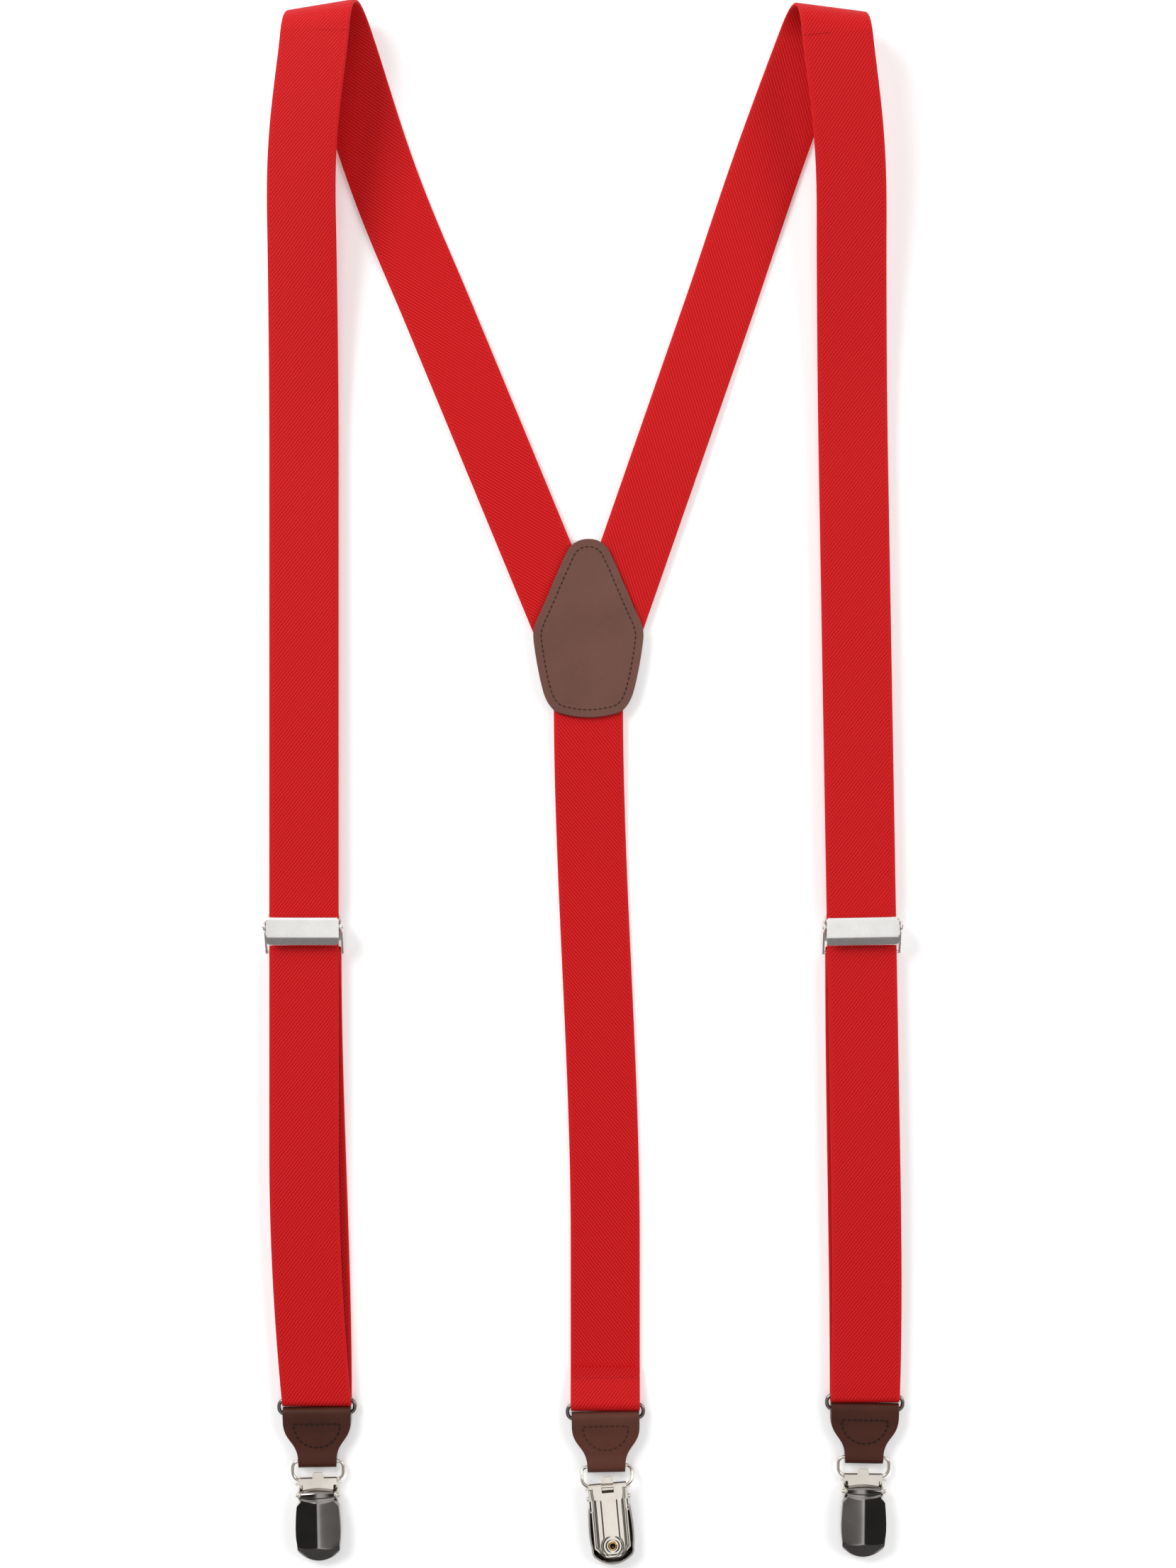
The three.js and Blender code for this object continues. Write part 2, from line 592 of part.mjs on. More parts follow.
// Clip, in its own frame: the loop's lower bar at y 0, the surface at z 0, the cover on the upper side.
const ROLL_RADIUS = LOOP_WIRE + BORE_CLEARANCE + 0.4;
const ROLL_Z = PLATE_LIFT + ROLL_RADIUS;
const PLATE_TOP = PLATE_LIFT + PLATE_THICKNESS;
const CLIP_EAR_INNER = COVER_NECK_WIDTH / 2 + SEAM_GAP;
const CLIP_STACK = COVER_RIDGE_Z; // height of a whole clip

function jawPlate() {
  const half = PLATE_WIDTH / 2;
  const chamfer = PLATE_CHAMFER;
  const low = -CLIP_LENGTH + PLATE_CHAMFER;
  const outline = polygon([
    [-STEM_HALF, 0],
    [-STEM_HALF, -3.0],
    [-half, -4.2],
    [-half, low + chamfer],
    [-half + chamfer, low],
    [half - chamfer, low],
    [half, low + chamfer],
    [half, -4.2],
    [STEM_HALF, -3.0],
    [STEM_HALF, 0],
  ]);
  const ear = new THREE.Shape();
  ear.moveTo(CLIP_PIN_Y - 2.2, PLATE_LIFT);
  ear.lineTo(CLIP_PIN_Y + 1.9, PLATE_LIFT);
  ear.lineTo(CLIP_PIN_Y + 1.5, CLIP_PIN_Z);
  ear.absarc(CLIP_PIN_Y, CLIP_PIN_Z, 1.5, 0, Math.PI, false);
  const earOuter = CLIP_EAR_INNER + EAR_THICKNESS;
  let plate = solid(slab(outline, PLATE_LIFT, PLATE_TOP));
  plate = plate.add(solid(barX(ROLL_RADIUS, -ROLL_HALF, ROLL_HALF, 0, ROLL_Z)));
  plate = plate.add(solid(across(ear, -earOuter, -CLIP_EAR_INNER)));
  plate = plate.add(solid(across(ear, CLIP_EAR_INNER, earOuter)));
  plate = plate.subtract(solid(block([-TONGUE_HALF - 0.3, -1.6, PLATE_TOP], [TONGUE_HALF + 0.3, 3, 9])));
  plate = plate.subtract(solid(block([-TONGUE_HALF - 0.3, -0.1, -1], [TONGUE_HALF + 0.3, 3, 9])));
  const tongueLow = [-TONGUE_HALF, -0.3, PLATE_LIFT - 0.35];
  const tongueHigh = [TONGUE_HALF, 3.9, PLATE_LIFT + 0.15];
  plate = plate.add(solid(block(tongueLow, tongueHigh)));
  plate = plate.subtract(solid(barX(LOOP_WIRE + BORE_CLEARANCE, -20, 20, 0, ROLL_Z, 12)));
  plate = plate.subtract(solid(barX(CLIP_PIN_RADIUS + BORE_CLEARANCE / 2, -20, 20, CLIP_PIN_Y, CLIP_PIN_Z)));
  plate = plate.subtract(solid(post(EYELET_HOLE + 0.75, -1, 3, 0, PAD_Y)));
  return geometryOf(plate);
}

function gripPad() {
  const low = PLATE_TOP + 0.1;
  let pad = solid(post(PAD_RADIUS, low, low + 1.0, 0, PAD_Y, 28));
  pad = pad.subtract(solid(post(EYELET_HOLE + 0.75, 0, 5, 0, PAD_Y)));
  pad = pad.subtract(solid(post(2.35, low + 0.5, 5, 0, PAD_Y)));
  return geometryOf(pad);
}

// Tubular eyelet through the plate and the pad, with a flange at each end.
function eyelet() {
  const barrel = EYELET_HOLE + EYELET_WALL;
  const flange = EYELET_FLANGE;
  const low = PLATE_LIFT - 0.4;
  const high = PLATE_TOP + 0.1 + 0.9;
  const profile = [
    [EYELET_HOLE, low],
    [flange, low],
    [flange, low + 0.3],
    [barrel, low + 0.3],
    [barrel, high - 0.3],
    [flange, high - 0.3],
    [flange, high],
    [EYELET_HOLE, high],
    [EYELET_HOLE, low],
  ].map(([r, z]) => new THREE.Vector2(r, z));
  return new THREE.LatheGeometry(profile, 24).rotateX(Math.PI / 2).translate(0, PAD_Y, 0);
}

function clipPin() {
  const half = CLIP_PIN_LENGTH / 2;
  return barX(CLIP_PIN_RADIUS, -half, half, CLIP_PIN_Y, CLIP_PIN_Z);
}

// Cover: a faceted shell with a narrow neck that turns on the pin.
function coverOutline(inset) {
  const neck = COVER_NECK_WIDTH / 2 - inset;
  const wide = COVER_WIDTH / 2 - inset;
  const tip = -CLIP_LENGTH + inset;
  const shape = new THREE.Shape();
  shape.moveTo(-neck, CLIP_PIN_Y + 1.6 - inset);
  shape.lineTo(-neck, -7.8 - inset);
  shape.lineTo(-wide + 0.4, -8.8 - inset);
  shape.lineTo(-wide, -16);
  shape.lineTo(-wide + 0.9, tip + 3.2);
  shape.quadraticCurveTo(-wide / 2, tip + 0.5, 0, tip);
  shape.quadraticCurveTo(wide / 2, tip + 0.5, wide - 0.9, tip + 3.2);
  shape.lineTo(wide, -16);
  shape.lineTo(wide - 0.4, -8.8 - inset);
  shape.lineTo(neck, -7.8 - inset);
  shape.lineTo(neck, CLIP_PIN_Y + 1.6 - inset);
  return shape;
}

// The space under the cover's roof, drop below its outer face.
function underRoof(drop) {
  const half = COVER_WIDTH / 2;
  const roof = polygon([
    [-half - 2, -8],
    [half + 2, -8],
    [half + 2, COVER_EDGE_Z - drop - 0.3],
    [half, COVER_EDGE_Z - drop],
    [0, COVER_RIDGE_Z - drop],
    [-half, COVER_EDGE_Z - drop],
    [-half - 2, COVER_EDGE_Z - drop - 0.3],
  ]);
  const along = slab(roof, 0, 40).rotateX(Math.PI / 2).translate(0, 3, 0);
  const slope = new THREE.Shape();
  slope.moveTo(4, -8);
  slope.lineTo(4, COVER_RIDGE_Z - drop - 2.4);
  slope.lineTo(-8, COVER_RIDGE_Z - drop + 0.2);
  slope.lineTo(-CLIP_LENGTH + 5, COVER_RIDGE_Z - drop);
  slope.lineTo(-CLIP_LENGTH - 2, COVER_RIDGE_Z - drop - 1.9);
  slope.lineTo(-CLIP_LENGTH - 2, -8);
  return solid(along).intersect(solid(across(slope, -half - 3, half + 3)));
}

function clipCover() {
  const wall = COVER_THICKNESS;
  const rim = PLATE_TOP + 1.5; // lower edge of the cover's walls
  let cover = solid(slab(coverOutline(0), rim, 12)).intersect(underRoof(0));
  let hollow = solid(slab(coverOutline(wall), -3, 12)).intersect(underRoof(wall));
  const cheeks = solid(block([-20, CLIP_PIN_Y - 2.6, rim - 2], [20, 5, 12]));
  hollow = hollow.subtract(cheeks).add(
    solid(block([-COVER_NECK_WIDTH / 2 + 1.2, CLIP_PIN_Y - 2.7, -3], [COVER_NECK_WIDTH / 2 - 1.2, 5, 2.9])),
  );
  cover = cover.subtract(hollow);
  cover = cover.subtract(solid(barX(CLIP_PIN_RADIUS + BORE_CLEARANCE / 2, -20, 20, CLIP_PIN_Y, CLIP_PIN_Z)));
  const toe = solid(barX(2.55, -20, 20, CLIP_PIN_Y, CLIP_PIN_Z, 32)).add(
    solid(block([-20, -CLIP_LENGTH - 5, -5], [20, CLIP_PIN_Y, 14])),
  );
  return geometryOf(cover.intersect(toe));
}

// The patch: two leathers of one outline, over and under the strap ends.
function patchOutline() {
  const low = -PATCH_LENGTH / 2;
  const high = PATCH_LENGTH / 2;
  const half = PATCH_WIDTH / 2;
  const shape = new THREE.Shape();
  shape.moveTo(-half, PATCH_WIDEST_Y);
  shape.quadraticCurveTo(-half, PATCH_WIDEST_Y + 3.2, -half + 1.6, PATCH_WIDEST_Y + 6.4);
  shape.lineTo(-7.6, high - 4.4);
  shape.quadraticCurveTo(-5.6, high, 0, high);
  shape.quadraticCurveTo(5.6, high, 7.6, high - 4.4);
  shape.lineTo(half - 1.6, PATCH_WIDEST_Y + 6.4);
  shape.quadraticCurveTo(half, PATCH_WIDEST_Y + 3.2, half, PATCH_WIDEST_Y);
  shape.lineTo(half - 3.6, low + 10);
  shape.quadraticCurveTo(half - 5.6, low + 3.2, half - 9.6, low + 1.9);
  shape.quadraticCurveTo(0, low - 1.3, -half + 9.6, low + 1.9);
  shape.quadraticCurveTo(-half + 5.6, low + 3.2, -half + 3.6, low + 10);
  return shape;
}

function patchLeatherSlab(low) {
  return slab(patchOutline(), low, low + LEATHER_THICKNESS, 6);
}

// The back strap: from the patch to its ring, round the bar and up again to its sewn hem.
function backStrap() {
  const x = (y) => BACK.ringX * smooth(THREE.MathUtils.clamp((-25 - y) / 200, 0, 1));
  const z = (y) => mix(PATCH_STRAP_Z, FLOOR_Z, smooth((-PATCH_LENGTH / 2 - y) / 60));
  const path = [BRANCH_END_Y - SEAM_GAP, ...spread(-PATCH_LENGTH / 2, -230, 16), -262].map((y) => [y, z(y)]);
  for (const angle of spread(0, Math.PI, 10)) {
    path.push([BACK.ringY - FOLD_RADIUS * Math.sin(angle), RING_Z - FOLD_RADIUS * Math.cos(angle)]);
  }
  const flapLow = FLOOR_Z + WEBBING_THICKNESS + SEAM_GAP / 2;
  path.push([BACK.ringY + 5, mix(RING_Z + FOLD_RADIUS, flapLow, 0.5)]);
  path.push([BACK.ringY + 9.5, flapLow], [BACK.ringY + BACK_HEM_LENGTH, flapLow]);
  return pathStrip(path, x);
}

// One strap end: ring, tab, loop and clip, at the lay's ring position.
function strapEnd(prefix, lay, reversed) {
  const group = new THREE.Group();
  group.position.set(lay.ringX, lay.ringY, 0);
  group.rotation.z = rad(lay.tilt);
  group.add(named(`${prefix}_strap_ring`, ring(), ringSteel()));

  const tabGroup = new THREE.Group();
  tabGroup.position.y = -RING_DROP;
  tabGroup.add(named(`${prefix}_leather_tab`, tab(), tabLeather()));
  group.add(tabGroup);

  const clipHeight = reversed ? CLIP_STACK - ROLL_Z : ROLL_Z;
  const loopGroup = new THREE.Group();
  loopGroup.position.set(0, TAB_LOOP_Y, RING_Z);
  loopGroup.rotation.z = rad(lay.loopTilt - lay.tilt);
  const drop = RING_Z - clipHeight;
  loopGroup.add(named(`${prefix}_clip_loop`, clipLoop(drop), nickel()));
  tabGroup.add(loopGroup);

  const clip = new THREE.Group();
  clip.position.set(0, -loopRun(drop), -RING_Z);
  clip.rotation.z = rad(lay.clipTilt - lay.loopTilt);
  const faceUp = new THREE.Group();
  if (reversed) {
    faceUp.rotation.y = Math.PI;
    faceUp.position.z = CLIP_STACK;
  }
  faceUp.add(named(`${prefix}_jaw_plate`, jawPlate(), nickel()));
  faceUp.add(named(`${prefix}_grip_pad`, gripPad(), padPlastic()));
  faceUp.add(named(`${prefix}_eyelet`, eyelet(), brass()));
  faceUp.add(named(`${prefix}_clip_pin`, clipPin(), nickel()));
  faceUp.add(named(`${prefix}_clip_cover`, clipCover(), gunmetal()));
  clip.add(faceUp);
  loopGroup.add(clip);
  return group;
}

function adjuster(prefix, side) {
  const group = new THREE.Group();
  group.position.set(frontStrapX(side, ADJUSTER_Y), ADJUSTER_Y, 0);
  group.rotation.z = Math.atan(-side.lean);
  group.add(named(`${prefix}_adjuster_frame`, adjusterFrame(), brushedNickel()));
  group.add(named(`${prefix}_adjuster_pin`, adjusterPin(), nickel()));
  group.add(named(`${prefix}_adjuster_cover`, adjusterCover(), brushedNickel()));
  return group;
}

const suspenders = new THREE.Group();
for (const [prefix, side] of Object.entries(SIDES)) {
  suspenders.add(named(`${prefix}_back_branch`, branch(side), webbing()));
  suspenders.add(named(`${prefix}_shoulder_loop`, shoulderLoop(side), webbing()));
  suspenders.add(named(`${prefix}_front_strap`, frontStrap(side), webbing()));
  suspenders.add(named(`${prefix}_runner_fold`, runnerFold(side), webbing()));
  suspenders.add(named(`${prefix}_return_run`, returnRun(side), webbing()));
  suspenders.add(adjuster(prefix, side));
  suspenders.add(strapEnd(prefix, side, false));
}
suspenders.add(named("back_strap", backStrap(), webbing()));
suspenders.add(named("patch_rear_leather", patchLeatherSlab(0), patchLeather()));
const patchFrontZ = PATCH_STRAP_Z + WEBBING_THICKNESS / 2 + SEAM_GAP;
suspenders.add(named("patch_front_leather", patchLeatherSlab(patchFrontZ), patchLeather()));
suspenders.add(strapEnd("back", BACK, true));

export default suspenders;
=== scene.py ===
"""Suspenders with a Y-shaped back, laid out flat: webbing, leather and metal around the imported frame."""
import math
from contextlib import contextmanager

import bpy
from mathutils import Matrix, Vector


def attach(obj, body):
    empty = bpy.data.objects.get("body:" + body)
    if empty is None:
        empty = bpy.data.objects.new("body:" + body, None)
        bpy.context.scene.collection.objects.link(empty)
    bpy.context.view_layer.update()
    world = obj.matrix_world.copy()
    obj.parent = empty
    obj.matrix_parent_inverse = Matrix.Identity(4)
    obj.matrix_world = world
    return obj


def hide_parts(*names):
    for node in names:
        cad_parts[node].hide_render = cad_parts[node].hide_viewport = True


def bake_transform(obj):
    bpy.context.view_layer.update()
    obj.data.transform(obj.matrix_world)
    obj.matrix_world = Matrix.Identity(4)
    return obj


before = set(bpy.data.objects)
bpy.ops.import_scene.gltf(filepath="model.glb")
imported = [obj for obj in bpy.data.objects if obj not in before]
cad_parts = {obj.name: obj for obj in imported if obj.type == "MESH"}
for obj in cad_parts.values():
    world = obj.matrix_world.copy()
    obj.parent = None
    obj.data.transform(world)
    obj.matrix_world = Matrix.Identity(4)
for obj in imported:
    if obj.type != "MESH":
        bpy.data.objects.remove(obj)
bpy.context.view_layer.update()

# ---- Sizes, in millimetres, as the frame has them ----
MM = 0.001
WEBBING = 25.4
THICK = 1.2
LEATHER = 1.3
GAP = 0.3
RING_WIRE = 0.7
FOLD_CLEARANCE = 0.35
BAR_WIRE = 0.6
LOOP_RADIUS = 10.3
SEAT_Y = 60
RUN_TOP_Y = -192
ADJUSTER_Y = -108.9
ADJUSTER_BAR_Y = -9.6
HEM_LENGTH = 13.5
BACK_HEM_LENGTH = 13.6
BRANCH_GAUGE_Y = 151
BRANCH_END_Y = -3
PATCH_LENGTH = 65.8
PATCH_WIDTH = 40.4
PATCH_WIDEST_Y = -2.6

HALF = WEBBING / 2
FLOOR_Z = THICK / 2
RING_SAG = 1.15
FOLD = RING_WIRE + FOLD_CLEARANCE + THICK / 2
RING_Z = RING_WIRE + FOLD_CLEARANCE + LEATHER
BAR_FOLD = BAR_WIRE + FOLD_CLEARANCE + THICK / 2
BAR_Z = FLOOR_Z + BAR_FOLD
FRONT_Z = BAR_Z + BAR_FOLD + THICK + GAP
PATCH_STRAP_Z = LEATHER + GAP + THICK / 2
LOOP_QUARTER = math.pi / 2 * LOOP_RADIUS
FRONT_TOP_S = -LOOP_QUARTER - 1

SIDES = {
    "left": dict(sign=-1, shoulder=(-96.2, 225.5), turn=6.4, skew=11.8, roll=3.4, strap_x=-104, lean=0,
                 top_slope=18.2, slope=22.46, branch_x=-69.5, ring_x=-99.6, ring_y=-282.6, return_x=-103.4),
    "right": dict(sign=1, shoulder=(87.1, 224.6), turn=-7.4, skew=13.2, roll=0, strap_x=99.9, lean=-0.0175,
                  top_slope=20.6, slope=19.2, branch_x=59.4, ring_x=101.4, ring_y=-281.2, return_x=99.7),
}
BACK = dict(ring_x=6.2, ring_y=-284.4)


def clamp(value, low=0.0, high=1.0):
    return max(low, min(high, value))


def mix(a, b, t):
    return a + (b - a) * t


def smooth(t):
    t = clamp(t)
    return t * t * (3 - 2 * t)


def spread(start, end, count):
    return [mix(start, end, i / count) for i in range(count + 1)]


# ---- Materials ----
def new_material(name):
    material = bpy.data.materials.new(name)
    material.use_nodes = True
    tree = material.node_tree
    return material, tree, tree.nodes["Principled BSDF"]


def put(tree, kind, **settings):
    node = tree.nodes.new(kind)
    for key, value in settings.items():
        if key.startswith("in_"):
            slot = key[3:]
            node.inputs[int(slot) if slot.isdigit() else slot.replace("_", " ")].default_value = value
        else:
            setattr(node, key, value)
    return node


def wire(tree, source, target):
    tree.links.new(source, target)


def maths(tree, operation, a, b=None, c=None):
    node = put(tree, "ShaderNodeMath", operation=operation)
    for slot, value in enumerate((a, b, c)):
        if value is None:
            continue
        if isinstance(value, (int, float)):
            node.inputs[slot].default_value = value
        else:
            wire(tree, value, node.inputs[slot])
    return node.outputs[0]


def ramp(tree, value, stops):
    node = put(tree, "ShaderNodeValToRGB")
    elements = node.color_ramp.elements
    while len(elements) < len(stops):
        elements.new(0.5)
    for element, (position, colour) in zip(elements, stops):
        element.position = position
        element.color = (*colour, 1)
    wire(tree, value, node.inputs[0])
    return node.outputs[0]


def node_group(name, inputs, outputs):
    group = bpy.data.node_groups.new(name, "ShaderNodeTree")
    for label, kind, value in inputs:
        socket = group.interface.new_socket(label, in_out="INPUT", socket_type=kind)
        socket.default_value = value
    for label, kind in outputs:
        group.interface.new_socket(label, in_out="OUTPUT", socket_type=kind)
    return group, group.nodes.new("NodeGroupInput"), group.nodes.new("NodeGroupOutput")


def twill_group():
    """Height and tone of slanting ribs between two plain selvedges, on a strap's own UV in metres. The tone
    follows the height, which paints shade into the grooves between ribs, with some random fuzz.
    """
    group, given, out = node_group(
        "twill_weave",
        [("Rib spacing", "NodeSocketFloat", 0.00125), ("Slope", "NodeSocketFloat", 1.26),
         ("Half width", "NodeSocketFloat", 0.0127), ("Selvedge", "NodeSocketFloat", 0.0014)],
        [("Height", "NodeSocketFloat"), ("Tone", "NodeSocketFloat"), ("Edge", "NodeSocketFloat")],
    )
    uv = put(group, "ShaderNodeUVMap", uv_map="strap")
    parts = put(group, "ShaderNodeSeparateXYZ")
    wire(group, uv.outputs[0], parts.inputs[0])
    u, v = parts.outputs[0], parts.outputs[1]
    drift = put(group, "ShaderNodeTexNoise", noise_dimensions="2D", in_Scale=260.0, in_Detail=2.0)
    wire(group, uv.outputs[0], drift.inputs["Vector"])
    wobble = maths(group, "MULTIPLY", maths(group, "SUBTRACT", drift.outputs[0], 0.5), 0.00014)
    slant = maths(group, "SUBTRACT", u, maths(group, "DIVIDE", v, given.outputs["Slope"]))
    across = maths(group, "ADD", slant, wobble)
    turns = maths(group, "DIVIDE", across, given.outputs["Rib spacing"])
    wave = maths(group, "SINE", maths(group, "MULTIPLY", turns, 2 * math.pi))
    rib = maths(group, "POWER", maths(group, "MULTIPLY_ADD", wave, 0.5, 0.5), 0.75)
    yarn = maths(group, "SINE", maths(group, "MULTIPLY", v, 2 * math.pi / 0.00042))
    yarn = maths(group, "MULTIPLY_ADD", yarn, 0.5, 0.5)
    body = maths(group, "ADD", maths(group, "MULTIPLY", rib, 0.88), maths(group, "MULTIPLY", yarn, 0.12))
    cord = maths(group, "SINE", maths(group, "MULTIPLY", u, 2 * math.pi / 0.0005))
    cord = maths(group, "MULTIPLY_ADD", cord, 0.07, 0.6)
    cord = maths(group, "ADD", cord, maths(group, "MULTIPLY", yarn, 0.07))
    inset = maths(group, "SUBTRACT", given.outputs["Half width"], maths(group, "ABSOLUTE", u))
    edge = maths(group, "LESS_THAN", inset, given.outputs["Selvedge"])
    height = put(group, "ShaderNodeMix", data_type="FLOAT")
    for value, slot in ((edge, 0), (body, 2), (cord, 3)):
        wire(group, value, height.inputs[slot])
    fuzz = put(group, "ShaderNodeTexNoise", noise_dimensions="2D", in_Scale=2600.0, in_Detail=1.0)
    wire(group, uv.outputs[0], fuzz.inputs["Vector"])
    # Painted shade: the tone is mostly the rib height, so the grooves come out darker and the rib tops
    # lighter; the fuzz adds random tone.
    tone = maths(group, "ADD", maths(group, "MULTIPLY", height.outputs[0], 0.86),
                 maths(group, "MULTIPLY", fuzz.outputs[0], 0.14))
    wire(group, height.outputs[0], out.inputs["Height"])
    wire(group, tone, out.inputs["Tone"])
    wire(group, edge, out.inputs["Edge"])
    return group


def grain_group():
    """Height and tone of pebbled leather, on Object coordinates."""
    group, given, out = node_group(
        "leather_grain",
        [("Pebble scale", "NodeSocketFloat", 900.0), ("Mottle scale", "NodeSocketFloat", 60.0)],
        [("Height", "NodeSocketFloat"), ("Tone", "NodeSocketFloat")],
    )
    place = put(group, "ShaderNodeTexCoord")
    pebble = put(group, "ShaderNodeTexVoronoi", feature="SMOOTH_F1")
    fine = put(group, "ShaderNodeTexNoise", in_Detail=3.0)
    mottle = put(group, "ShaderNodeTexNoise", in_Detail=2.0)
    for node, scale in ((pebble, given.outputs[0]), (mottle, given.outputs[1])):
        wire(group, place.outputs["Object"], node.inputs["Vector"])
        wire(group, scale, node.inputs["Scale"])
    wire(group, place.outputs["Object"], fine.inputs["Vector"])
    wire(group, maths(group, "MULTIPLY", given.outputs[0], 3), fine.inputs["Scale"])
    height = maths(group, "ADD", maths(group, "MULTIPLY", pebble.outputs[0], 0.7),
                   maths(group, "MULTIPLY", fine.outputs[0], 0.4))
    wire(group, height, out.inputs["Height"])
    clouds = maths(group, "MULTIPLY", mottle.outputs[0], 0.75)
    wire(group, maths(group, "MULTIPLY_ADD", height, 0.25, clouds), out.inputs["Tone"])
    return group


def scratch_group():
    """Fine brushed lines along one direction, with a little cloudiness, on Object coordinates."""
    group, given, out = node_group(
        "brushed_lines",
        [("Stretch", "NodeSocketVector", (9000, 260, 9000)), ("Cloud scale", "NodeSocketFloat", 120.0)],
        [("Lines", "NodeSocketFloat"), ("Cloud", "NodeSocketFloat")],
    )
    place = put(group, "ShaderNodeTexCoord")
    stretch = put(group, "ShaderNodeVectorMath", operation="MULTIPLY")
    wire(group, place.outputs["Object"], stretch.inputs[0])
    wire(group, given.outputs[0], stretch.inputs[1])
    lines = put(group, "ShaderNodeTexNoise", in_Scale=1.0, in_Detail=2.0)
    wire(group, stretch.outputs[0], lines.inputs["Vector"])
    cloud = put(group, "ShaderNodeTexNoise", in_Detail=3.0)
    wire(group, place.outputs["Object"], cloud.inputs["Vector"])
    wire(group, given.outputs[1], cloud.inputs["Scale"])
    wire(group, lines.outputs[0], out.inputs["Lines"])
    wire(group, cloud.outputs[0], out.inputs["Cloud"])
    return group


TWILL = twill_group()
GRAIN = grain_group()
LINES = scratch_group()


def use_group(tree, group, **values):
    node = put(tree, "ShaderNodeGroup", node_tree=group)
    for label, value in values.items():
        node.inputs[label.replace("_", " ")].default_value = value
    return node


def bump(tree, shader, height, distance, strength=1.0):
    node = put(tree, "ShaderNodeBump", in_Strength=strength, in_Distance=distance)
    wire(tree, height, node.inputs["Height"])
    wire(tree, node.outputs[0], shader.inputs["Normal"])


def red_webbing():
    material, tree, shader = new_material("red_webbing")
    weave = use_group(tree, TWILL)
    # Painted shade and highlight: the ramp gives the weave's grooves a darker red and its rib tops a lighter
    # red.
    colour = ramp(tree, weave.outputs["Tone"],
                  [(0.1, (0.4, 0.001, 0.002)), (0.45, (0.48, 0.003, 0.004)), (0.9, (0.62, 0.014, 0.017))])
    wire(tree, colour, shader.inputs["Base Color"])
    shader.inputs["Roughness"].default_value = 0.62
    shader.inputs["Specular IOR Level"].default_value = 0.12
    bump(tree, shader, weave.outputs["Height"], 0.0002, 0.6)
    return material


def leather(name, dark, light, roughness, depth, gloss=0.3):
    material, tree, shader = new_material(name)
    grain = use_group(tree, GRAIN)
    wire(tree, ramp(tree, grain.outputs["Tone"], [(0.2, dark), (0.75, light)]), shader.inputs["Base Color"])
    wire(tree, maths(tree, "MULTIPLY_ADD", grain.outputs["Tone"], -0.15, roughness + 0.08),
         shader.inputs["Roughness"])
    shader.inputs["Specular IOR Level"].default_value = gloss
    bump(tree, shader, grain.outputs["Height"], depth, 0.6)
    return material


def plated(name, colour, worn, roughness, brushed=0.0, stretch=(9000, 260, 9000), metallic=1.0):
    """Plated metal: a little cloudy, more or less brushed."""
    material, tree, shader = new_material(name)
    lines = use_group(tree, LINES, Stretch=stretch)
    wire(tree, ramp(tree, lines.outputs["Cloud"], [(0.3, colour), (0.8, worn)]), shader.inputs["Base Color"])
    shader.inputs["Metallic"].default_value = metallic
    rough = maths(tree, "MULTIPLY_ADD", lines.outputs["Lines"], 0.05 + 0.12 * brushed, roughness - 0.03)
    wire(tree, rough, shader.inputs["Roughness"])
    bump(tree, shader, lines.outputs["Lines"], 0.000003 + 0.000004 * brushed, 0.05 + 0.07 * brushed)
    return material


def thread_material(name, dark, light):
    material, tree, shader = new_material(name)
    place = put(tree, "ShaderNodeTexCoord")
    twist = put(tree, "ShaderNodeTexWave", in_Scale=900.0, in_Distortion=1.0)
    wire(tree, place.outputs["Object"], twist.inputs["Vector"])
    wire(tree, ramp(tree, twist.outputs[1], [(0.1, dark), (0.9, light)]), shader.inputs["Base Color"])
    shader.inputs["Roughness"].default_value = 0.75
    shader.inputs["Specular IOR Level"].default_value = 0.2
    bump(tree, shader, twist.outputs[1], 0.00008, 0.6)
    return material


RED = red_webbing()
PATCH = leather("patch_leather", (0.108, 0.043, 0.031), (0.142, 0.06, 0.044), 0.62, 0.00005)
TAB = leather("tab_leather", (0.038, 0.0085, 0.0036), (0.06, 0.0145, 0.007), 0.38, 0.00004, 0.2)
TAB_BACK = leather("tab_leather_plain", (0.07, 0.022, 0.014), (0.1, 0.034, 0.0225), 0.47, 0.00003, 0.14)
RING_STEEL = plated("dark_ring_steel", (0.16, 0.145, 0.135), (0.24, 0.215, 0.2), 0.2)
NICKEL = plated("bright_nickel", (0.55, 0.505, 0.45), (0.66, 0.615, 0.555), 0.17)
BRUSHED = plated("brushed_nickel", (0.76, 0.74, 0.72), (0.86, 0.845, 0.83), 0.2, brushed=1.0)
GUNMETAL = plated("dark_gunmetal", (0.2, 0.185, 0.175), (0.27, 0.25, 0.24), 0.13)
BRASS = plated("brass_eyelet", (0.5, 0.3, 0.1), (0.62, 0.4, 0.17), 0.24)
PAD = plated("pad_plastic", (0.72, 0.7, 0.65), (0.78, 0.76, 0.71), 0.5, metallic=0.0)
THREAD_DARK = thread_material("dark_thread", (0.008, 0.004, 0.003), (0.02, 0.009, 0.007))
THREAD_BROWN = thread_material("brown_thread", (0.018, 0.007, 0.005), (0.04, 0.016, 0.012))
THREAD_RED = thread_material("red_thread", (0.36, 0.003, 0.004), (0.6, 0.02, 0.022))


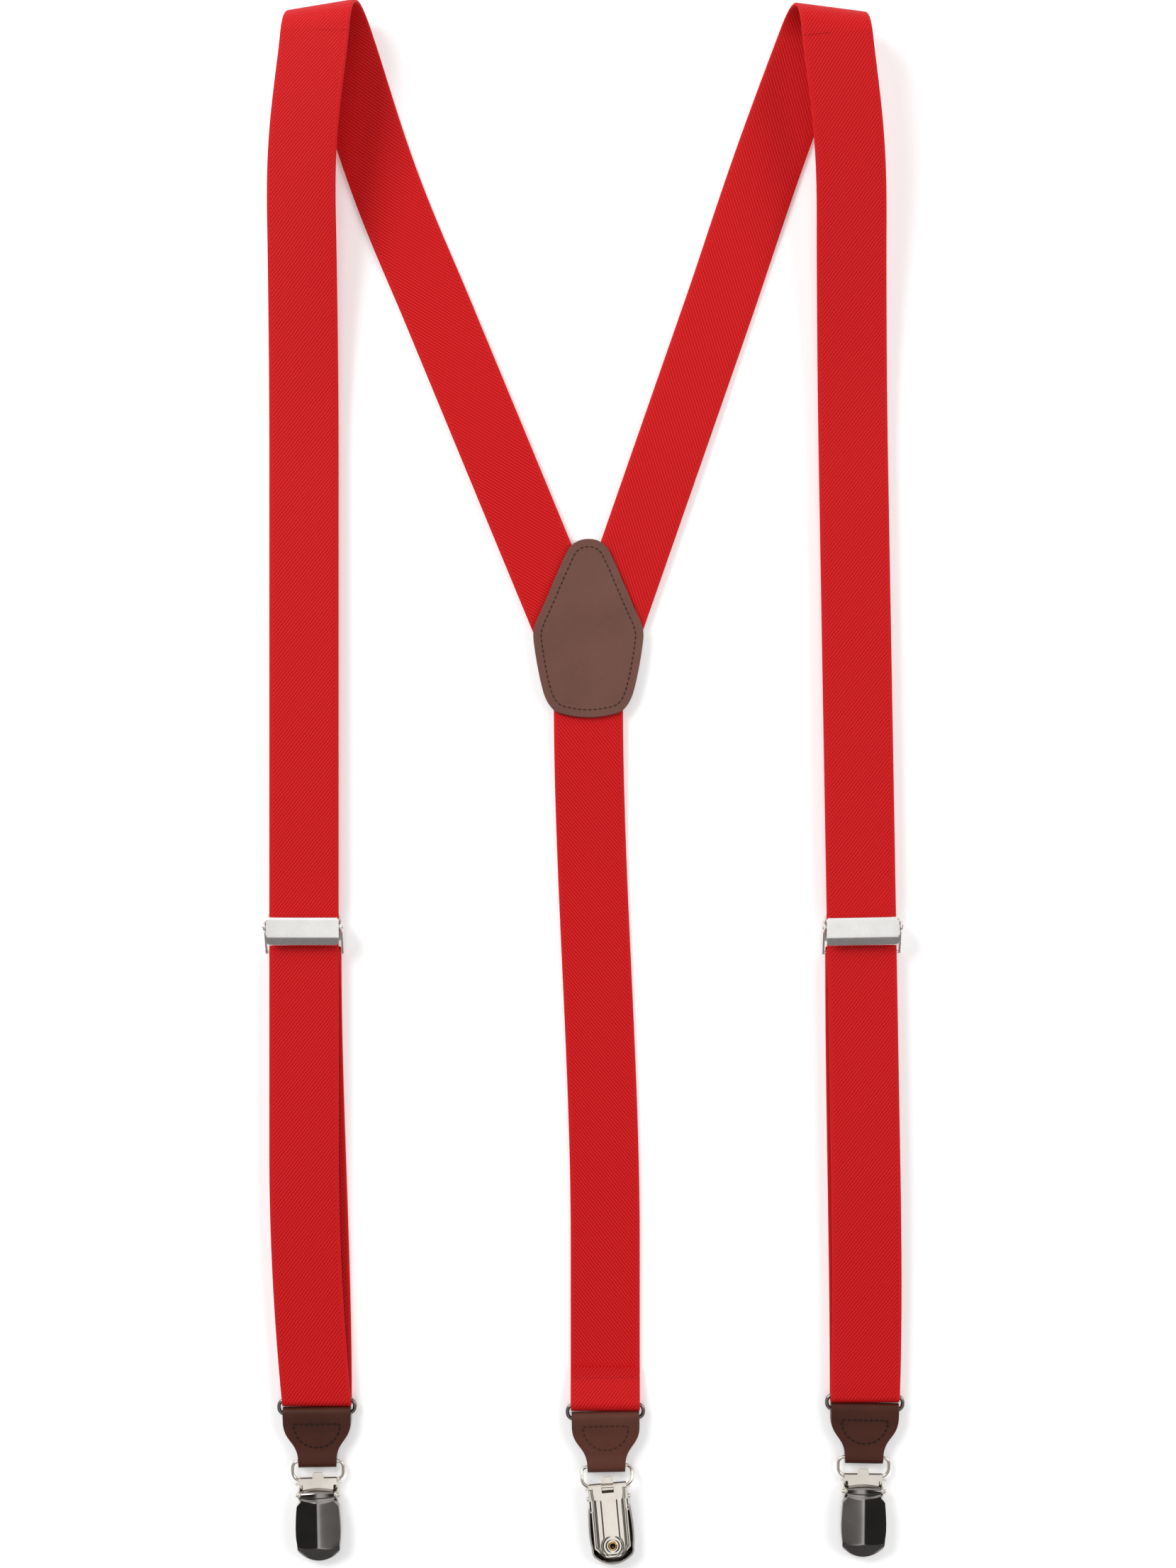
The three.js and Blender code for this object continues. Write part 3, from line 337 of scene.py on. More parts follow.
# ---- Webbing: strips laid along the straps' own lines ----
def loop_point(side, s, u):
    """The shoulder loop: a strip wound round a cylinder that lies across the fold."""
    turn = math.radians(side["turn"])
    axis = Vector((math.cos(turn), math.sin(turn), 0))
    out = Vector((-math.sin(turn), math.cos(turn), 0))
    skew = math.radians(side["skew"]) * -side["sign"]
    p = s * math.sin(skew) + u * math.cos(skew)
    q = s * math.cos(skew) - u * math.sin(skew)
    angle = clamp(q / LOOP_RADIUS, -math.pi / 2, math.pi / 2)
    reach = LOOP_RADIUS * (math.cos(angle) - 1) - max(abs(q) - LOOP_QUARTER, 0)
    raised = (1 - math.sin(angle)) / 2
    height = FLOOR_Z + 2 * LOOP_RADIUS * raised + side["roll"] * raised * u / HALF
    return Vector((*side["shoulder"], height)) + axis * p + out * reach


def loop_end(side):
    return LOOP_QUARTER / math.cos(math.radians(side["skew"])) + 4


def front_strap_x(side, y):
    run = side["strap_x"] + side["lean"] * (y - ADJUSTER_Y)
    drawn = clamp((RUN_TOP_Y - y) / (RUN_TOP_Y - side["ring_y"]))
    return run + (side["ring_x"] - run) * drawn**2


def front_strap_z(side, y):
    return mix(FRONT_Z, RING_Z + FOLD, smooth((RUN_TOP_Y - y) / 80))


def front_point(side, s, u):
    """The front strap from the top of its loop to the ring, then round the ring's upper bar."""
    top_y = loop_point(side, FRONT_TOP_S, 0).y
    y = top_y - (FRONT_TOP_S - s)
    if y < side["ring_y"]:
        angle = (side["ring_y"] - y) / FOLD
        return Vector((side["ring_x"] + u, side["ring_y"] - RING_SAG * FOLD * math.sin(angle),
                       RING_Z + FOLD * math.cos(angle)))
    if y < SEAT_Y:
        return Vector((front_strap_x(side, y) + u, y, front_strap_z(side, y)))
    near = loop_point(side, s, u)
    t = clamp((top_y - y) / (top_y - SEAT_Y))
    near.z = mix(loop_point(side, FRONT_TOP_S, u).z, FRONT_Z, 0.5 - 0.5 * math.cos(math.pi * t**0.85))
    far = Vector((front_strap_x(side, y) + u, y, near.z))
    return near.lerp(far, smooth((FRONT_TOP_S - s) / 75))


def branch_point(side, s, u):
    start = loop_point(side, loop_end(side) + GAP, 0)
    first = math.tan(math.radians(side["top_slope"])) * side["sign"]
    slope = math.tan(math.radians(side["slope"])) * side["sign"]
    y = start.y - s
    settle = smooth(s / 95)
    x = mix(start.x + first * (y - start.y), side["branch_x"] + slope * (y - BRANCH_GAUGE_Y), settle)
    height = mix(FLOOR_Z, PATCH_STRAP_Z, smooth((s - 60) / 100))
    angle = math.atan(mix(first, slope, settle))
    return Vector((x + u * math.cos(angle), y - u * math.sin(angle), height))


def path_point(path, x_of, s, u):
    """A point on a strip whose middle follows a path in Y and Z, s along it."""
    for (y0, z0), (y1, z1) in zip(path, path[1:]):
        step = math.hypot(y1 - y0, z1 - z0)
        if s <= step or (y1, z1) == tuple(path[-1]):
            t = s / step
            y, z = mix(y0, y1, t), mix(z0, z1, t)
            return Vector((x_of(y) + u, y, z))
        s -= step


def path_length(path):
    return sum(math.dist(a, b) for a, b in zip(path, path[1:]))


def return_path(side):
    bar_y = ADJUSTER_Y + ADJUSTER_BAR_Y
    low = side["ring_y"]
    path = [(low, RING_Z - FOLD), (low + 14, FLOOR_Z), (bar_y - 6, FLOOR_Z)]
    path += [(bar_y + BAR_FOLD * math.sin(a), BAR_Z - BAR_FOLD * math.cos(a))
             for a in spread(0, math.pi, 14)]
    flap, flap_low = BAR_Z + BAR_FOLD, FLOOR_Z + THICK + GAP / 2
    return path + [(bar_y - 3, flap), (bar_y - 8, mix(flap, flap_low, 0.75)), (bar_y - HEM_LENGTH, flap_low)]


def back_path():
    ring_y = BACK["ring_y"]
    path = [(y, mix(PATCH_STRAP_Z, FLOOR_Z, smooth((-PATCH_LENGTH / 2 - y) / 60)))
            for y in [BRANCH_END_Y - GAP, *spread(-PATCH_LENGTH / 2, -230, 24), -262]]
    path += [(ring_y - RING_SAG * FOLD * math.sin(a), RING_Z - FOLD * math.cos(a))
             for a in spread(0, math.pi, 14)]
    flap_low = FLOOR_Z + THICK + GAP / 2
    return path + [(ring_y + 5, mix(RING_Z + FOLD, flap_low, 0.5)), (ring_y + 9.5, flap_low),
                   (ring_y + BACK_HEM_LENGTH, flap_low)]


def section(columns=9):
    """A webbing section as (u, height) pairs, flat on both faces and rounded at the selvedges."""
    round_off = [math.radians(a) for a in (60, 30, 0, -30, -60)]
    flat = HALF - THICK / 2
    upper = [(mix(-flat, flat, i / (columns - 1)), THICK / 2) for i in range(columns)]
    right = [(flat + THICK / 2 * math.cos(a), THICK / 2 * math.sin(a)) for a in round_off]
    left = [(-u, -h) for u, h in right]
    return upper + right + [(-u, -h) for u, h in upper] + left


def webbing(name, at, stations, v0=0.0):
    """A strip of webbing whose middle surface is at(s, u). Its UV holds u and s in metres."""
    profile = section()
    step = 0.05
    verts, uvs = [], []
    for s in stations:
        for u, h in profile:
            along = at(s + step, u) - at(s - step, u)
            sideways = at(s, u + step) - at(s, u - step)
            normal = along.cross(sideways).normalized()
            verts.append((at(s, u) - normal * h) * MM)
            uvs.append((u * MM, (v0 + s) * MM))
    wide = len(profile)
    faces = [(r * wide + c, r * wide + (c + 1) % wide, (r + 1) * wide + (c + 1) % wide, (r + 1) * wide + c)
             for r in range(len(stations) - 1) for c in range(wide)]
    last = (len(stations) - 1) * wide
    faces += [tuple(range(wide - 1, -1, -1)), tuple(range(last, last + wide))]
    mesh = bpy.data.meshes.new(name)
    mesh.from_pydata(verts, [], faces)
    layer = mesh.uv_layers.new(name="strap")
    for loop in mesh.loops:
        layer.data[loop.index].uv = uvs[loop.vertex_index]
    mesh.polygons.foreach_set("use_smooth", [True] * len(mesh.polygons))
    piece = add_to_scene(name, mesh)
    mesh.materials.append(RED)
    outward(piece)
    smooth_with_plain_ends(piece)
    return piece


def smooth_with_plain_ends(piece):
    """Smooth faces and sharp cut ends, so that two lengths meet without a line."""
    only(piece)
    bpy.ops.object.shade_smooth_by_angle(angle=math.radians(50))


def only(piece):
    bpy.ops.object.select_all(action="DESELECT")
    piece.select_set(True)
    bpy.context.view_layer.objects.active = piece


@contextmanager
def editing(piece):
    """Edit mode on one piece, with all of it selected."""
    only(piece)
    bpy.ops.object.mode_set(mode="EDIT")
    bpy.ops.mesh.select_all(action="SELECT")
    yield
    bpy.ops.object.mode_set(mode="OBJECT")


def outward(piece):
    with editing(piece):
        bpy.ops.mesh.normals_make_consistent(inside=False)


def add_to_scene(name, data):
    added = bpy.data.objects.new(name, data)
    bpy.context.scene.collection.objects.link(added)
    return added


def own_copy(master):
    """A copy of a piece with its own mesh."""
    piece = master.copy()
    piece.data = master.data.copy()
    bpy.context.scene.collection.objects.link(piece)
    return piece


def dress(piece, name, slot, material, body, *nodes):
    """Names a finished piece, gives it its material and its body, and hides the CAD nodes it stands for. The
    slot is not used.
    """
    piece.name = piece.data.name = name
    piece.data.materials.clear()
    piece.data.materials.append(material)
    if nodes:
        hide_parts(*nodes)
    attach(piece, body)


def at_point(x, y, z):
    return (x * MM, y * MM, z * MM)


def front_webbing(prefix, side):
    top_y = loop_point(side, FRONT_TOP_S, 0).y
    bottom = FRONT_TOP_S - (top_y - side["ring_y"])
    stations = [FRONT_TOP_S + 0.12] + spread(FRONT_TOP_S, FRONT_TOP_S - (top_y - SEAT_Y), 40)
    stations += spread(stations[-1], bottom, 60)[1:]
    stations += spread(bottom, bottom - FOLD * math.pi, 14)[1:]
    piece = webbing(f"{prefix}_front_webbing", lambda s, u: front_point(side, s, u), stations)
    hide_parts(f"{prefix}_front_strap", f"{prefix}_runner_fold")
    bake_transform(piece)


def loop_webbing(prefix, side):
    piece = webbing(f"{prefix}_loop_webbing", lambda s, u: loop_point(side, s, u),
                    spread(FRONT_TOP_S, loop_end(side) + GAP, 36))
    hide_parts(f"{prefix}_shoulder_loop")
    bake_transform(piece)


def branch_webbing(prefix, side):
    start = loop_point(side, loop_end(side) + GAP, 0)
    long = start.y - BRANCH_END_Y
    piece = webbing(f"{prefix}_branch_webbing", lambda s, u: branch_point(side, s, u),
                    spread(0, long + 12, 60), loop_end(side) + GAP)
    inner = GAP / 2 * side["sign"]
    cut(piece, at_point(inner, 0, 0), (side["sign"], 0, 0))
    cut(piece, at_point(0, BRANCH_END_Y, 0), (0, 1, 0))
    smooth_with_plain_ends(piece)
    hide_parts(f"{prefix}_back_branch")
    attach(piece, "root")


def cut(piece, place, normal):
    """Keeps the side of a plane that the normal points to, and closes the cut."""
    with editing(piece):
        bpy.ops.mesh.bisect(plane_co=place, plane_no=normal, clear_inner=True, use_fill=True)


def return_webbing(prefix, side):
    bar_y = ADJUSTER_Y + ADJUSTER_BAR_Y
    path = return_path(side)

    def x_of(y):
        return mix(side["return_x"], side["ring_x"], smooth((bar_y - y) / (bar_y - side["ring_y"])))

    flat_run = path_length(path[:3])
    stations = spread(0, flat_run, 40) + spread(flat_run, path_length(path), 34)[1:]
    piece = webbing(f"{prefix}_return_webbing", lambda s, u: path_point(path, x_of, s, u), stations)
    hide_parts(f"{prefix}_return_run")
    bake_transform(piece)


def back_webbing():
    path = back_path()

    def x_of(y):
        return BACK["ring_x"] * smooth((-25 - y) / 200)

    total = path_length(path)
    straight = path_length(path[:27])
    stations = spread(0, straight, 70) + spread(straight, total, 34)[1:]
    piece = webbing("back_webbing", lambda s, u: path_point(path, x_of, s, u), stations)
    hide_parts("back_strap")
    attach(piece, "root")


for prefix, side in SIDES.items():
    front_webbing(prefix, side)
    loop_webbing(prefix, side)
    branch_webbing(prefix, side)
    return_webbing(prefix, side)
back_webbing()

# ---- Modelling tools ----
RING_DROP = 5.1
RING_HALF = 13.9
TAB_LENGTH = 22.1
TAB_TOP = 12.4
TAB_FOOT = 6.85
TAB_MIDDLE = 1.45
TAB_FOLD = RING_WIRE + FOLD_CLEARANCE + LEATHER
TAB_LOOP_FOLD = BAR_WIRE + FOLD_CLEARANCE + LEATHER
TAB_LOOP_Y = -(TAB_LENGTH - TAB_FOLD - TAB_LOOP_FOLD)
LOOP_LENGTH = 7.3
CLIP_STACK = 6.8
ROLL_RADIUS = 1.3
ROLL_Z = 0.5 + ROLL_RADIUS
PIN_Y = -4.7
PIN_Z = 4.3
PAD_Y = -21.5
TIP_Y = -29.0
ADJUSTER_PIN_Z = FRONT_Z + THICK / 2 + 3.9
PLATE_HALF = 6.65
PLATE_FOOT_Y = -25.6
PLATE_CHAMFER = 3.4
PLATE_NOTCH = 2.1
PLATE_HOLE = 1.5
NECK_HALF = 6.1
NECK_END_Y = -7.9
SHOULDER_Y = -8.7
COVER_HALF = 7.75
COVER_SKIRT_Z = 2.8
THROUGH = 20


def apply_place(piece):
    only(piece)
    bpy.ops.object.transform_apply(location=True, rotation=True, scale=True)


def apply_modifiers(piece):
    only(piece)
    for modifier in list(piece.modifiers):
        bpy.ops.object.modifier_apply(modifier=modifier.name)


def soften(piece, width, segments=3, angle=30, shade=35):
    """Rounds every edge that turns by more than the angle."""
    bevel = piece.modifiers.new("soft_edges", "BEVEL")
    bevel.width = width * MM
    bevel.segments = segments
    bevel.limit_method = "ANGLE"
    bevel.angle_limit = math.radians(angle)
    bevel.harden_normals = False
    apply_modifiers(piece)
    smooth_shade(piece, shade)


def smooth_shade(piece, angle=35):
    """Smooth shading that keeps broad faces flat beside their rounded edges."""
    only(piece)
    bpy.ops.object.shade_smooth_by_angle(angle=math.radians(angle))
    flat = piece.modifiers.new("flat_faces", "WEIGHTED_NORMAL")
    flat.keep_sharp = True
    flat.weight = 60
    apply_modifiers(piece)


def thicken(piece, thickness, outside=False):
    wall = piece.modifiers.new("wall", "SOLIDIFY")
    wall.thickness = thickness * MM
    wall.offset = 1 if outside else -1
    wall.use_even_offset = True
    apply_modifiers(piece)


def join(first, *others):
    """Puts other objects' meshes into the first one."""
    bpy.ops.object.select_all(action="DESELECT")
    for piece in (first, *others):
        piece.select_set(True)
    bpy.context.view_layer.objects.active = first
    bpy.ops.object.join()
    return first


def block(low, high):
    centre = [(a + b) / 2 * MM for a, b in zip(low, high)]
    size = [(b - a) * MM for a, b in zip(low, high)]
    bpy.ops.mesh.primitive_cube_add(size=1, location=centre, scale=size)
    piece = bpy.context.object
    apply_place(piece)
    return piece


def prism(outline, start, end, across=True):
    """A flat face extruded: an outline in Y and Z run across X, or one in X and Y raised along Z."""
    bpy.ops.mesh.primitive_circle_add(vertices=len(outline), radius=MM, fill_type="NGON")
    piece = bpy.context.object
    for vertex, (a, b) in zip(piece.data.vertices, outline):
        vertex.co = at_point(start, a, b) if across else at_point(a, b, start)
    run = Vector((1, 0, 0) if across else (0, 0, 1)) * (end - start) * MM
    with editing(piece):
        bpy.ops.mesh.extrude_region_move(TRANSFORM_OT_translate={"value": run})
        bpy.ops.mesh.select_all(action="SELECT")
        bpy.ops.mesh.normals_make_consistent(inside=False)
    return piece


def combine(piece, other, operation):
    """Cuts or keeps a piece by another solid, which is used up."""
    step = piece.modifiers.new("cut", "BOOLEAN")
    step.operation = operation
    step.object = other
    step.solver = "EXACT"
    apply_modifiers(piece)
    bpy.data.objects.remove(other)


def rod(radius, x0, x1, y, z, sides=32):
    """A round bar along X."""
    bpy.ops.mesh.primitive_cylinder_add(vertices=sides, radius=radius * MM, depth=(x1 - x0) * MM,
                                        location=((x0 + x1) / 2 * MM, y * MM, z * MM),
                                        rotation=(0, math.pi / 2, 0))
    piece = bpy.context.object
    apply_place(piece)
    return piece


def turned(profile, y, steps=48):
    """A closed profile of radius and height, spun round a line along Z at (0, y)."""
    bpy.ops.mesh.primitive_circle_add(vertices=len(profile), radius=MM, fill_type="NOTHING")
    piece = bpy.context.object
    for vertex, (radius, height) in zip(piece.data.vertices, profile):
        vertex.co = at_point(radius, y, height)
    with editing(piece):
        bpy.ops.mesh.spin(steps=steps, angle=2 * math.pi, center=at_point(0, y, 0), axis=(0, 0, 1))
        bpy.ops.mesh.select_all(action="SELECT")
        bpy.ops.mesh.remove_doubles(threshold=1e-6)
        bpy.ops.mesh.normals_make_consistent(inside=False)
    return piece


def bent_wire(radius, start, moves, sides=20):
    """A closed round wire from one circle, run along each straight and spun round each bend to the right."""
    place, heading = Vector((*start, 0)), Vector((1, 0, 0))
    bpy.ops.mesh.primitive_circle_add(vertices=sides, radius=radius * MM, location=place * MM,
                                      rotation=(0, math.pi / 2, 0))
    piece = bpy.context.object
    apply_place(piece)
    with editing(piece):
        for kind, amount, turn in moves:
            if kind == "run":
                bpy.ops.mesh.extrude_region_move(TRANSFORM_OT_translate={"value": heading * amount * MM})
                place = place + heading * amount
                continue
            centre = place + Vector((heading.y, -heading.x, 0)) * amount
            bpy.ops.mesh.spin(steps=12, angle=math.radians(turn), center=centre * MM, axis=(0, 0, 1))
            spun = Matrix.Rotation(-math.radians(turn), 3, "Z")
            place = centre + spun @ (place - centre)
            heading = spun @ heading
        bpy.ops.mesh.select_all(action="SELECT")
        bpy.ops.mesh.remove_doubles(threshold=2e-5)
        bpy.ops.mesh.normals_make_consistent(inside=False)
    smooth_shade(piece, 60)
    return piece


def surface_grid(columns, rows, at):
    """A grid whose points go to at(i, j), with i and j from 0 to 1 across and along."""
    bpy.ops.mesh.primitive_grid_add(x_subdivisions=columns, y_subdivisions=rows, size=1)
    piece = bpy.context.object
    for vertex in piece.data.vertices:
        vertex.co = Vector(at(vertex.co.x + 0.5, vertex.co.y + 0.5)) * MM
    return piece


def arc(centre, radius, first, last, steps):
    """Points on an arc, with angles in degrees."""
    return [(centre[0] + radius * math.cos(math.radians(a)), centre[1] + radius * math.sin(math.radians(a)))
            for a in spread(first, last, steps)]


def bezier(start, pull_a, pull_b, end, steps=10):
    """Points on a cubic curve after its start."""
    corners = (start, pull_a, pull_b, end)
    points = []
    for t in spread(0, 1, steps)[1:]:
        weights = ((1 - t)**3, 3 * t * (1 - t)**2, 3 * t * t * (1 - t), t**3)
        points.append(tuple(sum(w * p[k] for w, p in zip(weights, corners)) for k in (0, 1)))
    return points


def rounded(corners, steps=6):
    """A closed outline through corners (x, y, radius), each rounded."""
    points = []
    count = len(corners)
    for i, (x, y, radius) in enumerate(corners):
        corner = Vector((x, y))
        before = (Vector(corners[i - 1][:2]) - corner).normalized()
        after = (Vector(corners[(i + 1) % count][:2]) - corner).normalized()
        if radius == 0:
            points.append((x, y))
            continue
        half = before.angle(after) / 2
        reach = radius / math.tan(half)
        middle = corner + (before + after).normalized() * (radius / math.sin(half))
        first, last = corner + before * reach - middle, corner + after * reach - middle
        swing = math.atan2(first.cross(last), first.dot(last))
        for t in spread(0, 1, steps):
            points.append(tuple(middle + Matrix.Rotation(swing * t, 2) @ first))
    return points


def one_stitch(thread, length, bow=1.3):
    """A round thread along X that dips into the material at both ends."""
    bpy.ops.mesh.primitive_uv_sphere_add(segments=8, ring_count=8, radius=1, rotation=(0, math.pi / 2, 0))
    piece = bpy.context.object
    apply_place(piece)
    for vertex in piece.data.vertices:
        x, y, z = vertex.co
        x = math.copysign(abs(x)**0.7, x)
        vertex.co = at_point(x * length / 2, y * thread, thread * (z + 0.7 - bow * x**4))
    smooth_shade(piece, 80)
    return piece


def stitches(path, pitch, thread, height, closed=True, long=0.76):
    """A row of copies of one stitch along a path of (x, y)."""
    points = [Vector(p) for p in path] + ([Vector(path[0])] if closed else [])
    lengths = [(b - a).length for a, b in zip(points, points[1:])]
    total = sum(lengths)
    count = round(total / pitch)
    master = one_stitch(thread, total / count * long)

    def along(distance):
        for (a, b), step in zip(zip(points, points[1:]), lengths):
            if distance <= step:
                return a.lerp(b, distance / step)
            distance -= step
        return points[-1]

    row = []
    for k in range(count):
        first, last = along(total * k / count), along(total * (k + long) / count)
        middle, run = (first + last) / 2, last - first
        piece = own_copy(master)
        place = Matrix.Translation(at_point(middle.x, middle.y, height(middle)))
        piece.data.transform(place @ Matrix.Rotation(math.atan2(run.y, run.x), 4, "Z"))
        row.append(piece)
    bpy.data.objects.remove(master)
    join(*row)
    return row[0]


# ---- Strap ring and clip loop ----
def ring_wire():
    bend = 2.3
    long, side = 2 * (RING_HALF - bend), RING_DROP - 2 * bend
    moves = [("run", long, 0), ("bend", bend, 90), ("run", side, 0), ("bend", bend, 90)] * 2
    piece = bent_wire(RING_WIRE, (-RING_HALF + bend, 0), moves)
    piece.data.transform(Matrix.Translation(at_point(0, 0, RING_Z)))
    return piece


def loop_wire(drop):
    """Tight shoulders at the tab and wide bends at the foot that the clip holds."""
    half, shoulder, foot = 9.3, 2.3, 3.4
    side = LOOP_LENGTH - shoulder - foot
    moves = [("run", 2 * (half - shoulder), 0), ("bend", shoulder, 90), ("run", side, 0), ("bend", foot, 90),
             ("run", 2 * (half - foot), 0), ("bend", foot, 90), ("run", side, 0), ("bend", shoulder, 90)]
    piece = bent_wire(BAR_WIRE, (-half + shoulder, 0), moves)
    piece.data.transform(Matrix.Rotation(math.asin(drop / LOOP_LENGTH), 4, "X"))
    return piece


# ---- Leather tab ----
def tab_half_width(y):
    """Half the tab's width at y below the ring's lower bar."""
    start, end = (TAB_TOP, -2.6), (TAB_FOOT + 0.2, -TAB_LENGTH + TAB_FOLD + 4)
    if y > start[1]:
        return TAB_TOP
    if y < end[1]:
        return mix(end[0], TAB_FOOT, clamp((end[1] - y) / 4))
    curve = [start, *bezier(start, (TAB_TOP, -9.5), (TAB_FOOT + 1.2, -9.6), end, 40)]
    for (x0, y0), (x1, y1) in zip(curve, curve[1:]):
        if y >= y1:
            return mix(x0, x1, (y0 - y) / (y0 - y1))
    return end[0]


def tab_top_height(y):
    """Height of the leather's upper face over the wires' level."""
    foot = TAB_LOOP_Y
    if y > 0:
        return math.sqrt(max(0.0, TAB_FOLD**2 - y * y))
    if y < foot:
        return math.sqrt(max(0.0, TAB_LOOP_FOLD**2 - (y - foot)**2))
    if y > -7:
        return mix(TAB_FOLD, TAB_MIDDLE, smooth(-y / 7))
    return mix(TAB_MIDDLE, TAB_LOOP_FOLD, smooth((foot + 5 - y) / 5))


def tab_body():
    upper = [(y, tab_top_height(y)) for y in spread(0, TAB_LOOP_Y, 36)]
    outline = [(y * 1.09, z) for y, z in arc((0, 0), TAB_FOLD, -90, 90, 18)[:-1]] + upper
    outline += arc((TAB_LOOP_Y, 0), TAB_LOOP_FOLD, 90, 270, 18)[1:-1]
    outline += [(y, -z) for y, z in reversed(upper)][:-1]
    body = prism([(y, z + RING_Z) for y, z in outline], -TAB_TOP - 1, TAB_TOP + 1)
    ys = spread(TAB_FOLD + 0.5, TAB_LOOP_Y - TAB_LOOP_FOLD - 0.5, 70)
    sides = [(tab_half_width(y), y) for y in ys] + [(-tab_half_width(y), y) for y in reversed(ys)]
    combine(body, prism(sides, -3, 8, across=False), "INTERSECT")
    combine(body, rod(RING_WIRE + FOLD_CLEARANCE, -THROUGH, THROUGH, 0, RING_Z), "DIFFERENCE")
    combine(body, rod(BAR_WIRE + FOLD_CLEARANCE, -THROUGH, THROUGH, TAB_LOOP_Y, RING_Z), "DIFFERENCE")
    for sign in (-1, 1):
        parting = [(sign * (tab_half_width(y) - 0.35), y) for y in spread(-2.4, TAB_LOOP_Y + 2.2, 30)]
        parting += [(sign * (TAB_TOP + 2), parting[-1][1]), (sign * (TAB_TOP + 2), parting[0][1])]
        combine(body, prism(parting, RING_Z - 0.07, RING_Z + 0.07, across=False), "DIFFERENCE")
    soften(body, 0.22, 3, 40)
    return body


def tab_stitches(thread, half, top, deep):
    """A row straight across and an arc under it."""
    under = [(half * math.cos(math.radians(a)), top - deep * math.sin(math.radians(a))**0.92)
             for a in spread(4, 176, 40)]
    path = [(-half, top), (half, top), *under]
    return stitches(path, 2.0, thread, lambda p: RING_Z + tab_top_height(p.y))


# ---- Clip ----
def rim_distance(x, y):
    """Distance in from the jaw plate's sides and its cut lower corners."""
    side, foot = PLATE_HALF - abs(x), y - PLATE_FOOT_Y
    return min(side, foot, (side + foot - PLATE_CHAMFER) / math.sqrt(2))


def stamping(x, y):
    """How far the plate is pressed out: panel, two ribs beside a channel, and a bead round the eyelet."""
    panel = 0.3 * smooth((rim_distance(x, y) - 0.6) / 0.8)
    r = math.hypot(x, y - PAD_Y)
    across_rib = abs(x) if y > PAD_Y else r
    rib = smooth((across_rib - 2.6) / 0.6) * smooth((5.3 - across_rib) / 0.7) * smooth((-4.3 - y) / 0.7)
    rib *= smooth((r - 3.7) / 0.6)
    bead = smooth((r - 2.0) / 0.7) * smooth((3.9 - r) / 0.7)
    bow = 0.2 * (1 - (x / PLATE_HALF)**2) * smooth(-y / 4)
    return panel - 0.02 * smooth(-y / 4) + 0.17 * max(rib, bead) + bow


def jaw_plate():
    def at(i, j):
        y = mix(PLATE_FOOT_Y, 0.0, j)
        flare = 1 + 0.05 * smooth((y + 4.5) / 3)
        x = mix(-PLATE_HALF, PLATE_HALF, i) * flare
        return (x, y, 0.8 - stamping(x / flare, y))

    plate = surface_grid(92, 170, at)
    with editing(plate):
        for sign in (-1, 1):
            bpy.ops.mesh.select_all(action="SELECT")
            corner = at_point(sign * (PLATE_HALF - PLATE_CHAMFER), PLATE_FOOT_Y, 0)
            bpy.ops.mesh.bisect(plane_co=corner, plane_no=(sign, -1, 0), clear_outer=True)
            bpy.ops.mesh.select_all(action="SELECT")
            bpy.ops.mesh.bisect(plane_co=at_point(sign * PLATE_NOTCH, 0, 0), plane_no=(1, 0, 0))
        bpy.ops.mesh.select_all(action="SELECT")
        bpy.ops.mesh.bisect(plane_co=at_point(0, -PLATE_NOTCH, 0), plane_no=(0, 1, 0))
    remove_faces(plate, lambda c: (abs(c.x) < PLATE_NOTCH * MM and c.y > -PLATE_NOTCH * MM)
                 or math.hypot(c.x, c.y - PAD_Y * MM) < PLATE_HOLE * MM)
    recalculate(plate)
    thicken(plate, 0.5, outside=True)
    soften(plate, 0.1, 2, 50)
    return plate


def remove_faces(piece, chosen):
    with editing(piece):
        bpy.ops.mesh.select_all(action="DESELECT")
    for face in piece.data.polygons:
        face.select = chosen(face.center)
    bpy.ops.object.mode_set(mode="EDIT")
    bpy.ops.mesh.delete(type="FACE")
    bpy.ops.object.mode_set(mode="OBJECT")


def recalculate(piece):
    """Turns an open sheet's faces up."""
    outward(piece)
    if sum(face.normal.z * face.area for face in piece.data.polygons) < 0:
        with editing(piece):
            bpy.ops.mesh.flip_normals()


def rolled_edge():
    """The plate's rolled end round the loop's foot, in two halves, and the flat bar and stem over it."""
    rolls = []
    for sign in (-1, 1):
        x0, x1 = sorted((sign * PLATE_NOTCH, sign * 6.98))
        roll = rod(ROLL_RADIUS, x0, x1, 0, ROLL_Z)
        combine(roll, rod(BAR_WIRE + 0.3, -THROUGH, THROUGH, 0, ROLL_Z), "DIFFERENCE")
        rolls.append(roll)
    top = ROLL_Z + 1.42
    left = [(-8.2, -1.35, 0.3), (-5.75, -1.35, 0.3), (-5.6, -3.4, 0.2)]
    right = [(5.6, -3.4, 0.2), (5.75, -1.35, 0.3), (8.2, -1.35, 0.3), (8.2, -0.55, 0.2), (7.05, -0.5, 0.15),
             (7.0, 1.05, 0.2), (1.9, 1.05, 0.3), (1.8, 3.2, 0.6)]
    outline = rounded(left + right + [(-x, y, r) for x, y, r in reversed(right[3:])])
    bar = prism(outline, top - 0.46, top, across=False)
    edge = join(*rolls, bar, block((-5.5, -3.9, 1.0), (5.5, -3.35, top - 0.2)))
    outward(edge)
    soften(edge, 0.12, 3, 40)
    return edge


